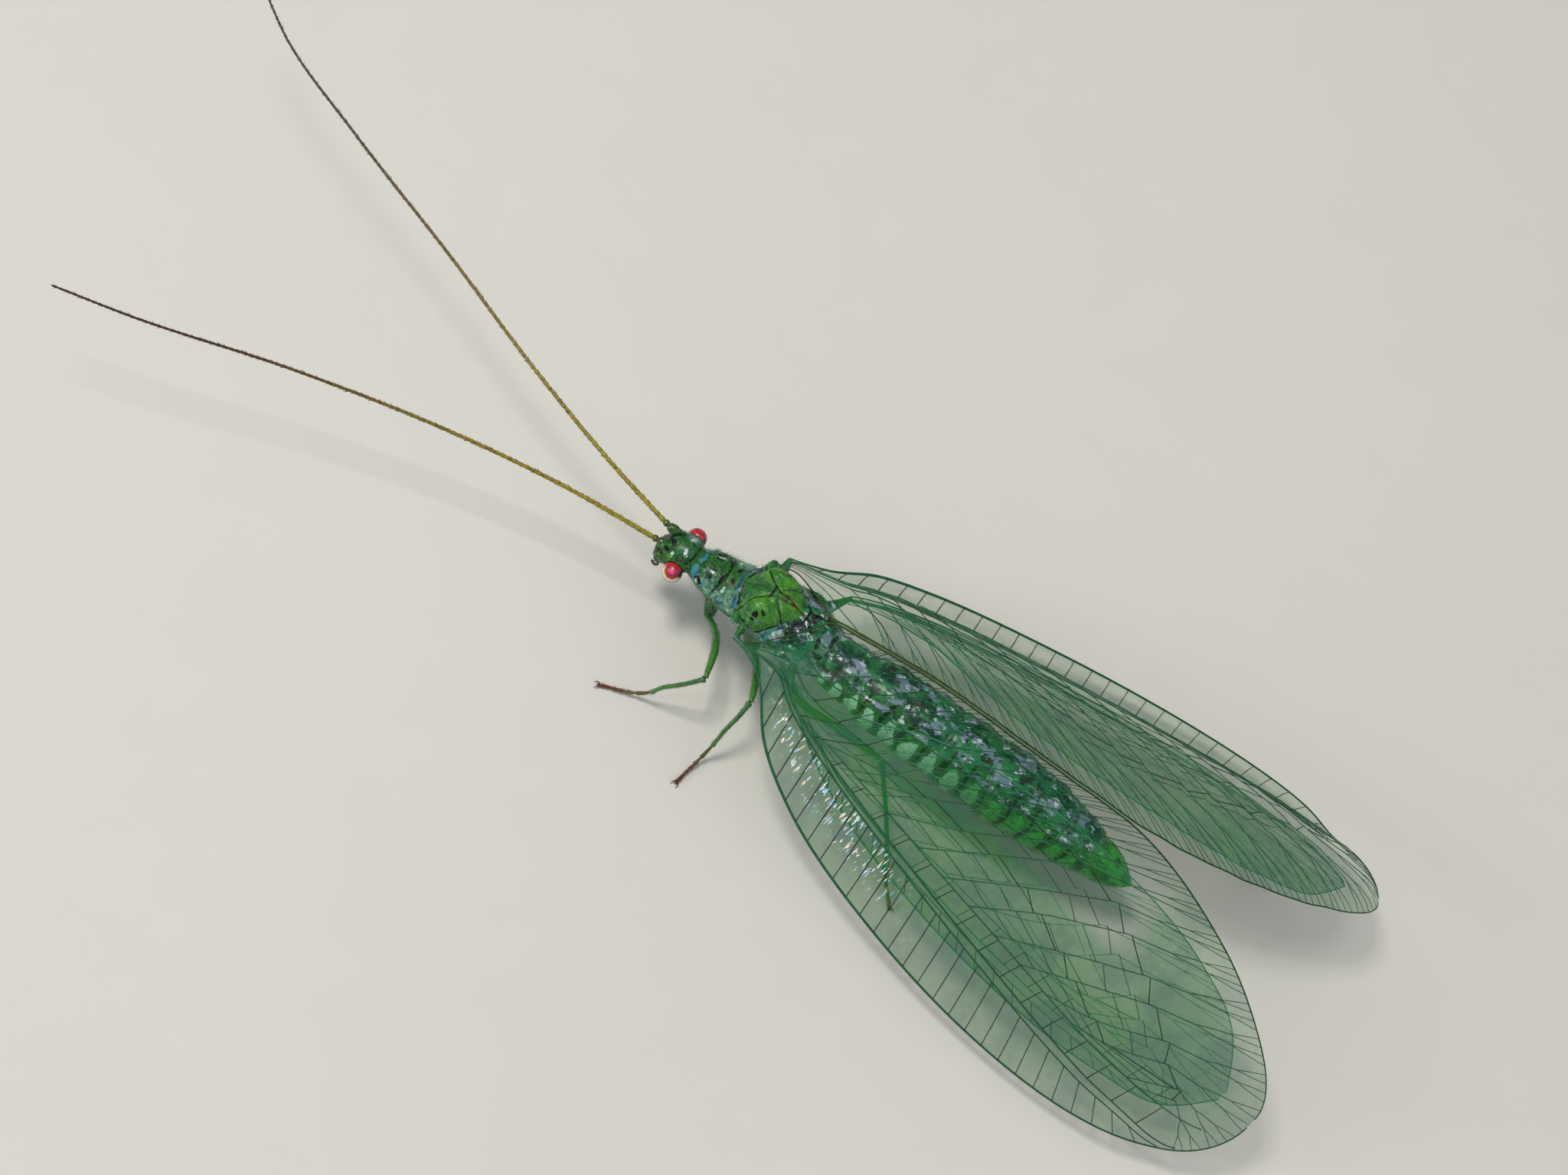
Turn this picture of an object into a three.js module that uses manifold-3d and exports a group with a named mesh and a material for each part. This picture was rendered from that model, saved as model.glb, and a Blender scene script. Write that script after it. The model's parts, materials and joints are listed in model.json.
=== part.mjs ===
// A green lacewing at rest on its six feet, with its wings folded like a roof over the abdomen.
// Millimetres, +Z up, the head towards -Y and the insect's left side towards +X.
import * as THREE from "three";
import { mergeVertices } from "three/addons/utils/BufferGeometryUtils.js";
import Module from "manifold-3d";

const wasm = await Module();
wasm.setup();

// Clearances and thicknesses shared by several parts
const PARTING_GAP = 0.04;
const WING_THICKNESS = 0.5;
const LIMB_RADIUS = 0.25;
const BODY_SIDES = 20;
const LIMB_SIDES = 8;
const LIMB_STEPS = 6;
const COXA_STEPS = 3;
const LIMB_END_SHARE = 0.88;
const STEEP = 0.85;
const LEFT = 1;
const RIGHT = -1;
const SIDES = [["left", LEFT], ["right", RIGHT]];

// Trunk stations from the neck to the tip of the abdomen: place along the body, half width,
// height of the axis over the floor, rise of the back over the axis, fall of the belly under it
const TRUNK = [
  [0.36, 0.3, 1.77, 0.24, 0.26],
  [0.55, 0.43, 1.79, 0.33, 0.33],
  [0.95, 0.47, 1.82, 0.37, 0.38],
  [1.34, 0.52, 1.88, 0.42, 0.42],
  [1.45, 0.55, 1.93, 0.49, 0.47],
  [1.95, 0.65, 2.0, 0.6, 0.57],
  [2.45, 0.62, 1.95, 0.57, 0.55],
  [2.95, 0.6, 1.84, 0.55, 0.52],
  [3.3, 0.56, 1.74, 0.52, 0.5],
  [4.6, 0.7, 1.66, 0.7, 0.7],
  [6.2, 0.74, 1.61, 0.76, 0.76],
  [7.7, 0.74, 1.56, 0.75, 0.75],
  [8.6, 0.62, 1.48, 0.63, 0.62],
  [9.3, 0.46, 1.39, 0.47, 0.46],
  [9.8, 0.3, 1.31, 0.31, 0.3],
  [10.05, 0.14, 1.27, 0.15, 0.14],
];
const [TRUNK_Y, TRUNK_HALF_WIDTH, TRUNK_AXIS_Z, TRUNK_RISE, TRUNK_FALL] = [0, 1, 2, 3, 4].map(
  (column) => TRUNK.map((row) => row[column]),
);

// Places along the body where the thorax parts and the eight abdomen lengths meet
const THORAX_PARTS = [
  { name: "prothorax", from: 0.36, to: 1.38, waist: 0.05, cleft: 0.02, colour: 0x6f9c86 },
  { name: "mesothorax", from: 1.38, to: 2.42, waist: 0.08, cleft: 0.05, colour: 0x5a9a3a },
  { name: "metathorax", from: 2.42, to: 3.28, waist: 0.07, cleft: 0.05, colour: 0x4f8c4c },
];
const ABDOMEN_JOINTS = [3.28, 4.02, 4.9, 5.82, 6.76, 7.66, 8.5, 9.24, 10.05];
const ABDOMEN_WAIST = 0.05;
const WAIST_SHARPNESS = 3;
const CLEFT_SHARPNESS = 24;
const THORAX_STEPS = 6;
const ABDOMEN_STEPS = 4;

// Head: level rings from the mouth up to the crown
const HEAD_RING_Z = [1.26, 1.4, 1.58, 1.76, 1.92, 2.04, 2.11];
const HEAD_MIDDLE_Y = [-0.4, -0.34, -0.14, -0.05, -0.04, -0.05, -0.06];
const HEAD_HALF_WIDTH = [0.2, 0.27, 0.34, 0.36, 0.35, 0.29, 0.16];
const HEAD_FRONT = [0.16, 0.26, 0.37, 0.37, 0.3, 0.22, 0.13];
const HEAD_BACK = [0.16, 0.3, 0.38, 0.37, 0.34, 0.26, 0.14];
const MOUTH_RING_Z = [0.96, 1.02, 1.12, 1.22];
const MOUTH_MIDDLE_Y = [-0.44, -0.44, -0.43, -0.41];
const MOUTH_HALF_WIDTH = [0.07, 0.13, 0.17, 0.19];
const MOUTH_HALF_LENGTH = [0.06, 0.11, 0.15, 0.16];

// Compound eyes
const EYE_CENTRE = new THREE.Vector3(0.43, 0.085, 1.7);
const EYE_RADII = new THREE.Vector3(0.19, 0.195, 0.215);
const EYE_SIDES = 14;
const EYE_RINGS = 10;

// Feelers: a short base joint and a long whip with an easy bend
const FEELER_BASE = { from: [0.17, -0.27, 1.92], to: [0.2, -0.52, 1.93], radius: 0.14, swell: 0.1 };
const FEELER_ROOT_RADIUS = 0.15;
const FEELER_WIDENING = 0.9;
const FEELER_STEPS = 25;
const FEELER_PATHS = {
  left: [[0.22, -0.57, 1.93], [0.4, -2.1, 1.99], [0.92, -4.45, 2.12], [1.87, -7.42, 2.3], [2.96, -10.2, 2.46],
    [3.4, -11.55, 2.55]],
  right: [[-0.2, -0.57, 1.93], [-0.46, -1.7, 1.97], [-1.09, -3.95, 2.09], [-1.95, -6.5, 2.24],
    [-2.82, -9.27, 2.4], [-3.58, -11.35, 2.52], [-4.18, -12.3, 2.57]],
};

// Wings: the forewing's long axis runs back and out from its root, and its surface slopes
// from the ridge over the abdomen down and out to the front edge
const WING_ROOT = new THREE.Vector3(0.91, 1.68, 2.4);
const WING_LENGTH = 12.6;
const WING_YAW_DEG = 8;
const WING_PITCH_DEG = -4.3;
const WING_SLOPE_ROOT_DEG = 38.5;
const WING_SLOPE_TIP_DEG = 31.2;
const WING_CAMBER = 0.12;
const WING_CAMBER_SKEW = 1.45;
const ROOT_DROOP = 0.28;
const ROOT_DROOP_SPAN = 0.16;
const RIDGE_CLEARANCE = 0.03;
const WING_COLUMNS = 7;

// Rounded shoulder lobe in front of each wing root
const SHOULDER = { from: [0.6, 1.41, 2.06], to: [0.84, 1.49, 2.1], radius: 0.17 };

// Forewing outline at stations along its length: reach to the front edge and to the hind edge
const FOREWING = {
  stations: [0, 0.06, 0.13, 0.22, 0.42, 0.62, 0.8, 0.93, 1],
  front: [0.12, 0.35, 1.15, 1.72, 2.25, 2.38, 2.13, 1.49, 0.1],
  hind: [0.12, 0.62, 1.22, 1.64, 2.08, 2.33, 1.9, 1.14, 0.1],
  depth: 0,
  rows: 22,
};

// Hindwing outline in the same terms, tucked under the forewing and short of its edges
const HINDWING = {
  stations: [0.105, 0.16, 0.24, 0.3, 0.45, 0.62, 0.8, 0.9, 0.945],
  front: [0.35, 0.6, 1.0, 1.2, 1.45, 1.5, 1.24, 0.82, 0.1],
  hind: [-0.05, 0.0, 0.55, 0.95, 1.45, 1.65, 1.4, 0.85, 0.1],
  depth: WING_THICKNESS + PARTING_GAP,
  rows: 18,
};

// Legs, each side in its own pose; right legs are given as if on the left and are mirrored
const COXA_RADIUS = 0.2;
const FOOT_SEGMENTS = 3;
const FOOT_WAIST = 0.88;
const FOOT_ARCH = 0.7;
const FOOT_HEEL = { halfWidth: 0.24, height: 0.42 };
const FOOT_TOE = { halfWidth: 0.19, height: 0.28 };
const COXAE = {
  fore: [[0.27, 0.86, 1.4], [0.34, 1.0, 1.06]],
  mid: [[0.29, 1.9, 1.36], [0.36, 2.02, 1.0]],
  hind: [[0.29, 2.72, 1.24], [0.37, 2.84, 0.94]],
};
const LEGS = {
  left: {
    fore: {
      femur: [[0.44, 1.2, 1.05], [1.0, 1.5, 1.34], [1.62, 1.68, 1.42]],
      tibia: [[1.72, 1.62, 1.22], [1.84, 1.34, 0.94], [1.98, 1.04, 0.64]],
      tarsus: [[1.95, 1.12], [2.28, 0.2]],
    },
    mid: {
      femur: [[0.5, 2.2, 1.0], [0.95, 2.42, 1.2], [1.42, 2.6, 1.28]],
      tibia: [[1.62, 2.56, 1.1], [1.9, 2.52, 0.88], [2.2, 2.47, 0.66]],
      tarsus: [[2.16, 2.48], [2.98, 2.32]],
    },
    hind: {
      femur: [[0.58, 3.08, 0.94], [0.7, 4.1, 0.99], [0.74, 5.06, 1.05]],
      tibia: [[0.86, 5.26, 0.96], [1.36, 5.72, 0.76], [1.9, 6.18, 0.6]],
      tarsus: [[1.86, 6.15], [2.56, 6.76]],
    },
  },
  right: {
    fore: {
      femur: [[0.44, 1.2, 1.05], [0.8, 1.46, 1.18], [0.98, 1.86, 1.24]],
      tibia: [[1.15, 1.83, 0.97], [1.19, 1.42, 0.78], [1.22, 1.0, 0.62]],
      tarsus: [[1.22, 1.06], [1.26, 0.12]],
    },
    mid: {
      femur: [[0.52, 2.24, 1.0], [0.84, 2.52, 1.1], [0.98, 2.94, 1.16]],
      tibia: [[1.19, 2.95, 0.93], [1.29, 2.74, 0.78], [1.38, 2.5, 0.64]],
      tarsus: [[1.36, 2.54], [1.48, 1.72]],
    },
    hind: {
      femur: [[0.5, 3.14, 0.94], [0.8, 4.2, 0.98], [1.04, 5.3, 0.98]],
      tibia: [[1.1, 5.42, 0.95], [1.02, 6.9, 0.66], [1.1, 7.9, 0.42]],
      tarsus: [[1.1, 7.95], [1.16, 9.08]],
    },
  },
};

const COLOURS = {
  head: 0x5f8f4a,
  eye: 0x9c1b33,
  mouth: 0x6d7a3c,
  feeler: 0x7a5a34,
  abdomen: 0x3f8d72,
  wing: 0x7fae93,
  leg: 0x5b9a4e,
  tarsus: 0x7a4e33,
};

// Smooth curve through the values given at rising stations
function through(stations, values, x) {
  const last = stations.length - 1;
  let i = 0;
  while (i < last - 1 && x > stations[i + 1]) {
    i += 1;
  }
  const slope = (k) => (values[k + 1] - values[k]) / (stations[k + 1] - stations[k]);
  const tangent = (k) => {
    if (k === 0) {
      return slope(0);
    }
    if (k === last) {
      return slope(last - 1);
    }
    const before = stations[k] - stations[k - 1];
    const after = stations[k + 1] - stations[k];
    return (slope(k - 1) * after + slope(k) * before) / (before + after);
  };
  const span = stations[i + 1] - stations[i];
  const t = (x - stations[i]) / span;
  const t2 = t * t;
  const t3 = t2 * t;
  return (2 * t3 - 3 * t2 + 1) * values[i] + (t3 - 2 * t2 + t) * span * tangent(i)
    + (3 * t2 - 2 * t3) * values[i + 1] + (t3 - t2) * span * tangent(i + 1);
}

// Closed geometry from points and triangles, turned so that its faces point out
function closedGeometry(points, triangles) {
  let volume = 0;
  const normal = new THREE.Vector3();
  for (let i = 0; i < triangles.length; i += 3) {
    const [a, b, c] = [points[triangles[i]], points[triangles[i + 1]], points[triangles[i + 2]]];
    volume += a.dot(normal.crossVectors(b, c));
  }
  const index = volume > 0 ? triangles : triangles.toReversed();
  const geometry = new THREE.BufferGeometry().setFromPoints(points);
  geometry.setIndex(index);
  geometry.computeVertexNormals();
  return geometry;
}

// Closed solid through rings of equal point count, with a fan over each end
function loft(rings) {
  const sides = rings[0].length;
  const points = rings.flat();
  const triangles = [];
  for (let ring = 0; ring + 1 < rings.length; ring += 1) {
    for (let side = 0; side < sides; side += 1) {
      const here = ring * sides + side;
      const next = ring * sides + ((side + 1) % sides);
      triangles.push(here, next, here + sides, next, next + sides, here + sides);
    }
  }
  for (const [ring, flip] of [[0, true], [rings.length - 1, false]]) {
    const middle = rings[ring].reduce((sum, point) => sum.add(point), new THREE.Vector3());
    points.push(middle.divideScalar(sides));
    const centre = points.length - 1;
    for (let side = 0; side < sides; side += 1) {
      const here = ring * sides + side;
      const next = ring * sides + ((side + 1) % sides);
      triangles.push(...(flip ? [next, here, centre] : [here, next, centre]));
    }
  }
  return closedGeometry(points, triangles);
}

const group = new THREE.Group();

function addPart(name, geometry, colour, roughness = 0.45) {
  const material = new THREE.MeshStandardMaterial({ color: colour, roughness, metalness: 0 });
  const mesh = new THREE.Mesh(geometry, material);
  mesh.name = name;
  group.add(mesh);
  return mesh;
}

// Trunk ring at a place along the body, narrowed by scale and cleft along the middle of the back
function trunkRing(y, scale, cleft) {
  const halfWidth = through(TRUNK_Y, TRUNK_HALF_WIDTH, y) * scale;
  const axis = through(TRUNK_Y, TRUNK_AXIS_Z, y);
  const rise = through(TRUNK_Y, TRUNK_RISE, y) * scale;
  const fall = through(TRUNK_Y, TRUNK_FALL, y) * scale;
  const ring = [];
  for (let side = 0; side < BODY_SIDES; side += 1) {
    const angle = (side / BODY_SIDES) * 2 * Math.PI;
    const across = Math.sin(angle);
    const up = Math.cos(angle);
    const dent = 1 - cleft * Math.max(0, up) ** CLEFT_SHARPNESS;
    ring.push(new THREE.Vector3(halfWidth * across, y, axis + (up > 0 ? rise : fall) * up * dent));
  }
  return ring;
}

// One length of the trunk, drawn in a little at both ends so that its neighbours show apart
function trunkLength(from, to, waist, cleft, steps) {
  const rings = [];
  for (let step = 0; step <= steps; step += 1) {
    const u = step / steps;
    const pinch = 1 - waist * Math.abs(2 * u - 1) ** WAIST_SHARPNESS;
    rings.push(trunkRing(THREE.MathUtils.lerp(from, to, u), pinch, cleft));
  }
  return loft(rings);
}

function buildTrunk() {
  const half = PARTING_GAP / 2;
  for (const part of THORAX_PARTS) {
    const geometry = trunkLength(part.from + half, part.to - half, part.waist, part.cleft, THORAX_STEPS);
    addPart(part.name, geometry, part.colour);
  }
  for (let i = 0; i + 1 < ABDOMEN_JOINTS.length; i += 1) {
    const [from, to] = [ABDOMEN_JOINTS[i] + half, ABDOMEN_JOINTS[i + 1] - half];
    addPart(`abdomen_${i + 1}`, trunkLength(from, to, ABDOMEN_WAIST, 0, ABDOMEN_STEPS), COLOURS.abdomen);
  }
}

// Level oval ring with its own reach to the front and to the back
function levelRing(z, middleY, halfWidth, front, back) {
  const ring = [];
  for (let side = 0; side < BODY_SIDES; side += 1) {
    const angle = (side / BODY_SIDES) * 2 * Math.PI;
    const along = Math.sin(angle);
    const y = middleY + (along < 0 ? front : back) * along;
    ring.push(new THREE.Vector3(halfWidth * Math.cos(angle), y, z));
  }
  return ring;
}

function eyeGeometry(side, grow) {
  const geometry = new THREE.SphereGeometry(1, EYE_SIDES, EYE_RINGS);
  geometry.rotateZ(Math.PI / 2);
  geometry.scale(EYE_RADII.x + grow, EYE_RADII.y + grow, EYE_RADII.z + grow);
  geometry.translate(side * EYE_CENTRE.x, EYE_CENTRE.y, EYE_CENTRE.z);
  return geometry;
}

function toManifold(geometry) {
  const bare = geometry.clone();
  bare.deleteAttribute("normal");
  bare.deleteAttribute("uv");
  const merged = mergeVertices(bare, 1e-5);
  const vertProperties = new Float32Array(merged.attributes.position.array);
  const triVerts = new Uint32Array(merged.index.array);
  return new wasm.Manifold(new wasm.Mesh({ numProp: 3, vertProperties, triVerts }));
}

function fromManifold(solid) {
  const mesh = solid.getMesh();
  const geometry = new THREE.BufferGeometry();
  geometry.setAttribute("position", new THREE.BufferAttribute(new Float32Array(mesh.vertProperties), 3));
  geometry.setIndex(new THREE.BufferAttribute(new Uint32Array(mesh.triVerts), 1));
  geometry.computeVertexNormals();
  return geometry;
}

const mirrored = (point, side) => new THREE.Vector3(point[0] * side, point[1], point[2]);

// Round limb along a path, its radius given as a function of the way along it
function limb(points, radiusAt, steps) {
  const curve = new THREE.CatmullRomCurve3(points, false, "centripetal");
  const rings = [];
  for (let step = 0; step <= steps; step += 1) {
    const u = step / steps;
    const centre = curve.getPointAt(u);
    const tangent = curve.getTangentAt(u);
    const reference = Math.abs(tangent.z) > STEEP ? new THREE.Vector3(0, 1, 0) : new THREE.Vector3(0, 0, 1);
    const across = new THREE.Vector3().crossVectors(tangent, reference).normalize();
    const upward = new THREE.Vector3().crossVectors(across, tangent);
    const radius = radiusAt(u);
    const ring = [];
    for (let side = 0; side < LIMB_SIDES; side += 1) {
      const angle = ((side + 0.5) / LIMB_SIDES) * 2 * Math.PI;
      const spoke = across.clone().multiplyScalar(Math.cos(angle) * radius);
      ring.push(spoke.addScaledVector(upward, Math.sin(angle) * radius).add(centre));
    }
    rings.push(ring);
  }
  return loft(rings);
}

function feelerBase(side, grow) {
  const ends = [mirrored(FEELER_BASE.from, side), mirrored(FEELER_BASE.to, side)];
  const swell = (u) => FEELER_BASE.radius * (1 + FEELER_BASE.swell * Math.sin(Math.PI * u)) + grow;
  return limb(ends, swell, COXA_STEPS);
}

// Head capsule with sockets cut for the eyes and the feelers' base joints, and the mouthparts below
function buildHead() {
  const rings = HEAD_RING_Z.map((z, i) => (
    levelRing(z, HEAD_MIDDLE_Y[i], HEAD_HALF_WIDTH[i], HEAD_FRONT[i], HEAD_BACK[i])
  ));
  let capsule = toManifold(loft(rings));
  for (const [sideName, side] of SIDES) {
    capsule = capsule.subtract(toManifold(eyeGeometry(side, PARTING_GAP / 2)));
    capsule = capsule.subtract(toManifold(feelerBase(side, PARTING_GAP / 2)));
    addPart(`eye_${sideName}`, eyeGeometry(side, 0), COLOURS.eye, 0.15);
    addPart(`antenna_base_${sideName}`, feelerBase(side, 0), COLOURS.head);
  }
  addPart("head", fromManifold(capsule), COLOURS.head);
  const mouth = MOUTH_RING_Z.map((z, i) => (
    levelRing(z, MOUTH_MIDDLE_Y[i], MOUTH_HALF_WIDTH[i], MOUTH_HALF_LENGTH[i], MOUTH_HALF_LENGTH[i])
  ));
  addPart("mouthparts", loft(mouth), COLOURS.mouth);
}

function buildFeelers() {
  for (const [sideName] of SIDES) {
    const path = FEELER_PATHS[sideName].map((point) => new THREE.Vector3(...point));
    const widen = (u) => Math.min(LIMB_RADIUS, FEELER_ROOT_RADIUS + u * FEELER_WIDENING);
    addPart(`antenna_${sideName}`, limb(path, widen, FEELER_STEPS), COLOURS.feeler);
  }
}

// Axes of the wing at a place along it: along the wing, from front edge to hind edge, and outward
function wingAxes(s) {
  const yaw = THREE.MathUtils.degToRad(WING_YAW_DEG);
  const pitch = THREE.MathUtils.degToRad(WING_PITCH_DEG);
  const slope = THREE.MathUtils.degToRad(THREE.MathUtils.lerp(WING_SLOPE_ROOT_DEG, WING_SLOPE_TIP_DEG, s));
  const level = new THREE.Vector3(Math.sin(yaw), Math.cos(yaw), 0);
  const along = level.multiplyScalar(Math.cos(pitch)).setZ(Math.sin(pitch));
  const across = new THREE.Vector3(-Math.cos(slope), 0, Math.sin(slope));
  across.addScaledVector(along, -across.dot(along)).normalize();
  const outward = new THREE.Vector3().crossVectors(along, across).normalize();
  return { along, across, outward: outward.z < 0 ? outward.negate() : outward };
}

// Outline reach at a place along the wing, smooth and round at root and tip
function reach(outline, edge, s) {
  const angleOf = (place) => Math.acos(1 - 2 * Math.min(1, Math.max(0, place)));
  return through(outline.stations.map(angleOf), outline[edge], angleOf(s));
}

// Point of the folded wing surface, at a reach across from the long axis and a depth below it;
// the camber is a parabola across the wing with its top towards the front edge
function wingPoint(s, t, depth) {
  const { along, across, outward } = wingAxes(s);
  const front = reach(FOREWING, "front", s);
  const chord = front + reach(FOREWING, "hind", s);
  const place = Math.min(1, Math.max(0, (t + front) / chord)) ** WING_CAMBER_SKEW;
  const bulge = WING_CAMBER * chord * 4 * place * (1 - place);
  const droop = ROOT_DROOP * Math.max(0, 1 - s / ROOT_DROOP_SPAN) ** 2;
  return WING_ROOT.clone()
    .addScaledVector(along, s * WING_LENGTH)
    .addScaledVector(across, t)
    .addScaledVector(outward, bulge - depth)
    .add(new THREE.Vector3(0, 0, -droop));
}

function wingPlate(outline, side) {
  const [first, last] = [outline.stations[0], outline.stations.at(-1)];
  const rings = [];
  for (let row = 0; row <= outline.rows; row += 1) {
    const s = THREE.MathUtils.lerp(first, last, (1 - Math.cos((Math.PI * row) / outline.rows)) / 2);
    const front = reach(outline, "front", s);
    const hind = reach(outline, "hind", s);
    const outer = [];
    const inner = [];
    for (let column = 0; column <= WING_COLUMNS; column += 1) {
      const t = THREE.MathUtils.lerp(-front, hind, column / WING_COLUMNS);
      outer.push(wingPoint(s, t, outline.depth - WING_THICKNESS / 2));
      inner.push(wingPoint(s, t, outline.depth + WING_THICKNESS / 2));
    }
    const ring = [...outer, ...inner.reverse()];
    for (const point of ring) {
      point.x = Math.max(point.x, RIDGE_CLEARANCE) * side;
    }
    rings.push(ring);
  }
  return loft(rings);
}

function buildWings() {
  for (const [sideName, side] of SIDES) {
    addPart(`forewing_${sideName}`, wingPlate(FOREWING, side), COLOURS.wing, 0.25);
    addPart(`hindwing_${sideName}`, wingPlate(HINDWING, side), COLOURS.wing, 0.25);
  }
}

// Foot lying flat on the floor from heel to toe, arched across and swelling at each of its segments
function footGeometry(heel, toe, side) {
  const start = mirrored([...heel, 0], side);
  const run = mirrored([...toe, 0], side).sub(start);
  const across = new THREE.Vector3(run.y, -run.x, 0).normalize();
  const rings = [];
  for (let step = 0; step <= 2 * FOOT_SEGMENTS; step += 1) {
    const u = step / (2 * FOOT_SEGMENTS);
    const swell = step % 2 === 1 ? 1 : FOOT_WAIST;
    const halfWidth = THREE.MathUtils.lerp(FOOT_HEEL.halfWidth, FOOT_TOE.halfWidth, u) * swell;
    const height = THREE.MathUtils.lerp(FOOT_HEEL.height, FOOT_TOE.height, u) * swell;
    const ring = [];
    for (let corner = 0; corner < LIMB_SIDES; corner += 1) {
      const angle = (corner / (LIMB_SIDES - 1)) * Math.PI;
      const point = start.clone().addScaledVector(run, u);
      point.addScaledVector(across, Math.cos(angle) * halfWidth);
      point.z = Math.sin(angle) ** FOOT_ARCH * height;
      ring.push(point);
    }
    rings.push(ring);
  }
  return loft(rings);
}

const barrel = (radius) => (u) => (
  radius * (LIMB_END_SHARE + (1 - LIMB_END_SHARE) * Math.sin(Math.PI * u))
);

function buildShoulders() {
  for (const [sideName, side] of SIDES) {
    const ends = [mirrored(SHOULDER.from, side), mirrored(SHOULDER.to, side)];
    addPart(`shoulder_${sideName}`, limb(ends, barrel(SHOULDER.radius), COXA_STEPS), THORAX_PARTS[1].colour);
  }
}

function buildLegs() {
  for (const [sideName, side] of SIDES) {
    for (const [legName, leg] of Object.entries(LEGS[sideName])) {
      const name = (segment) => `${legName}_${segment}_${sideName}`;
      const path = (points) => points.map((point) => mirrored(point, side));
      addPart(name("coxa"), limb(path(COXAE[legName]), barrel(COXA_RADIUS), COXA_STEPS), COLOURS.leg);
      addPart(name("femur"), limb(path(leg.femur), barrel(LIMB_RADIUS), LIMB_STEPS), COLOURS.leg);
      addPart(name("tibia"), limb(path(leg.tibia), barrel(LIMB_RADIUS), LIMB_STEPS), COLOURS.leg);
      addPart(name("tarsus"), footGeometry(...leg.tarsus, side), COLOURS.tarsus);
    }
  }
}

buildHead();
buildTrunk();
buildFeelers();
buildShoulders();
buildWings();
buildLegs();

// Origin on the floor, in the middle of the whole insect
const bounds = new THREE.Box3().setFromObject(group, true);
const middle = bounds.getCenter(new THREE.Vector3());
group.position.set(-middle.x, -middle.y, -bounds.min.z);
group.updateMatrixWorld(true);

export default group;
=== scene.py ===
"""Looks of a green lacewing at rest with its wings folded like a roof.

Lengths are in millimetres in the insect's own frame, with the middle of the head over x = y = 0, the
floor at z = 0, the tail towards +y and the insect's left towards +x. Frame.metres() puts them where the
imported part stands, in metres.
"""

from __future__ import annotations

import json
import logging
import math
from collections.abc import Callable, Sequence
from dataclasses import dataclass, field
from enum import Enum

import bpy
import numpy as np
from mathutils import Matrix, Vector, noise

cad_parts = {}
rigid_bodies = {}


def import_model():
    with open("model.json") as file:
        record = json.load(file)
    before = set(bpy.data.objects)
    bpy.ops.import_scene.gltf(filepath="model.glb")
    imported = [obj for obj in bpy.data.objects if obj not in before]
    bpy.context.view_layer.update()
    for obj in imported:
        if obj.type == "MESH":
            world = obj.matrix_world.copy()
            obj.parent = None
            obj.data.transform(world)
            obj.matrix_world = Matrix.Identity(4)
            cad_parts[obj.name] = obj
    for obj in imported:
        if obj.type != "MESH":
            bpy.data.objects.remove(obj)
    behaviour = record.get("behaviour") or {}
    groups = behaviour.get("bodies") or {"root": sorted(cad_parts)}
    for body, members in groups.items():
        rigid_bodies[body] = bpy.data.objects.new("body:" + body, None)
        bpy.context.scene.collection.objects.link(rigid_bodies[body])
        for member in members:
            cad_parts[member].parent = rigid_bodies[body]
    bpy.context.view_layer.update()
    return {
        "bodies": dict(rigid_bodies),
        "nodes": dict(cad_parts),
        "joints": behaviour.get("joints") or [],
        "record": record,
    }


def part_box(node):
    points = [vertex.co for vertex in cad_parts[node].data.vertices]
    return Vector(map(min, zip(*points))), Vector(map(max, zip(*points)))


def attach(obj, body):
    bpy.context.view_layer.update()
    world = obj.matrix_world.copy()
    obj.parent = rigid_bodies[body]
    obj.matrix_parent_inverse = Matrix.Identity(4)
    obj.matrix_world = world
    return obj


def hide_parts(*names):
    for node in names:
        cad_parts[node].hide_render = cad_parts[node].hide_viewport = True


Point = tuple[float, float, float]
Stations = tuple[tuple[float, float], ...]
Value = bpy.types.NodeSocket | float | Sequence[float]

LOG = logging.getLogger("lacewing")
MM = 0.001
BODY = "root"
BAKE_MAP = "OFBake"
SIDES = {"left": 1, "right": -1}
SETA_RADIUS = 0.0022
SETA_PATCH = 0.0015
SETA_STEPS = ((0.0, 1.0), (0.5, 0.72))
CAP_HEIGHT = 0.5
SEAM_OVERLAP = 1.06
SEED = 7


class Tone(Enum):
    """Colour masks that the skin and its setae carry."""

    DARK = "dark"
    TEAL = "teal"
    LIME = "lime"
    RUST = "rust"
    MINT = "mint"
    # painted highlights: pale specks on head and thorax
    GLINT = "glint"
    # mottle of the abdomen's back, with painted lilac sheen and white glints; also laid on the metathorax and
    # as a painted highlight on top of the head
    BACK = "back"
    REAR = "rear"
    DEEP = "deep"
    HAZE = "haze"


class Trait(Enum):
    """Masks that thin parts and wing films carry."""

    ALONG = "along"
    # where the film's painted glints go
    SHINE = "shine"
    CLEAR = "clear"


def srgb(code: str) -> tuple[float, float, float, float]:
    """Linear colour of a screen colour.

    Args:
        code: six hexadecimal digits.

    Returns:
        Red, green, blue and alpha.
    """
    values = [int(code[i : i + 2], 16) / 255 for i in (0, 2, 4)]
    linear = [v / 12.92 if v <= 0.04045 else ((v + 0.055) / 1.055) ** 2.4 for v in values]
    return (*linear, 1.0)


def smoothstep(low: float, high: float, x: np.ndarray) -> np.ndarray:
    """Smooth rise from 0 at low to 1 at high."""
    t = np.clip((x - low) / (high - low), 0, 1)
    return t * t * (3 - 2 * t)


def unit(v: np.ndarray) -> np.ndarray:
    """Rows of v at length one."""
    return v / np.maximum(np.linalg.norm(v, axis=-1, keepdims=True), 1e-9)


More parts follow.
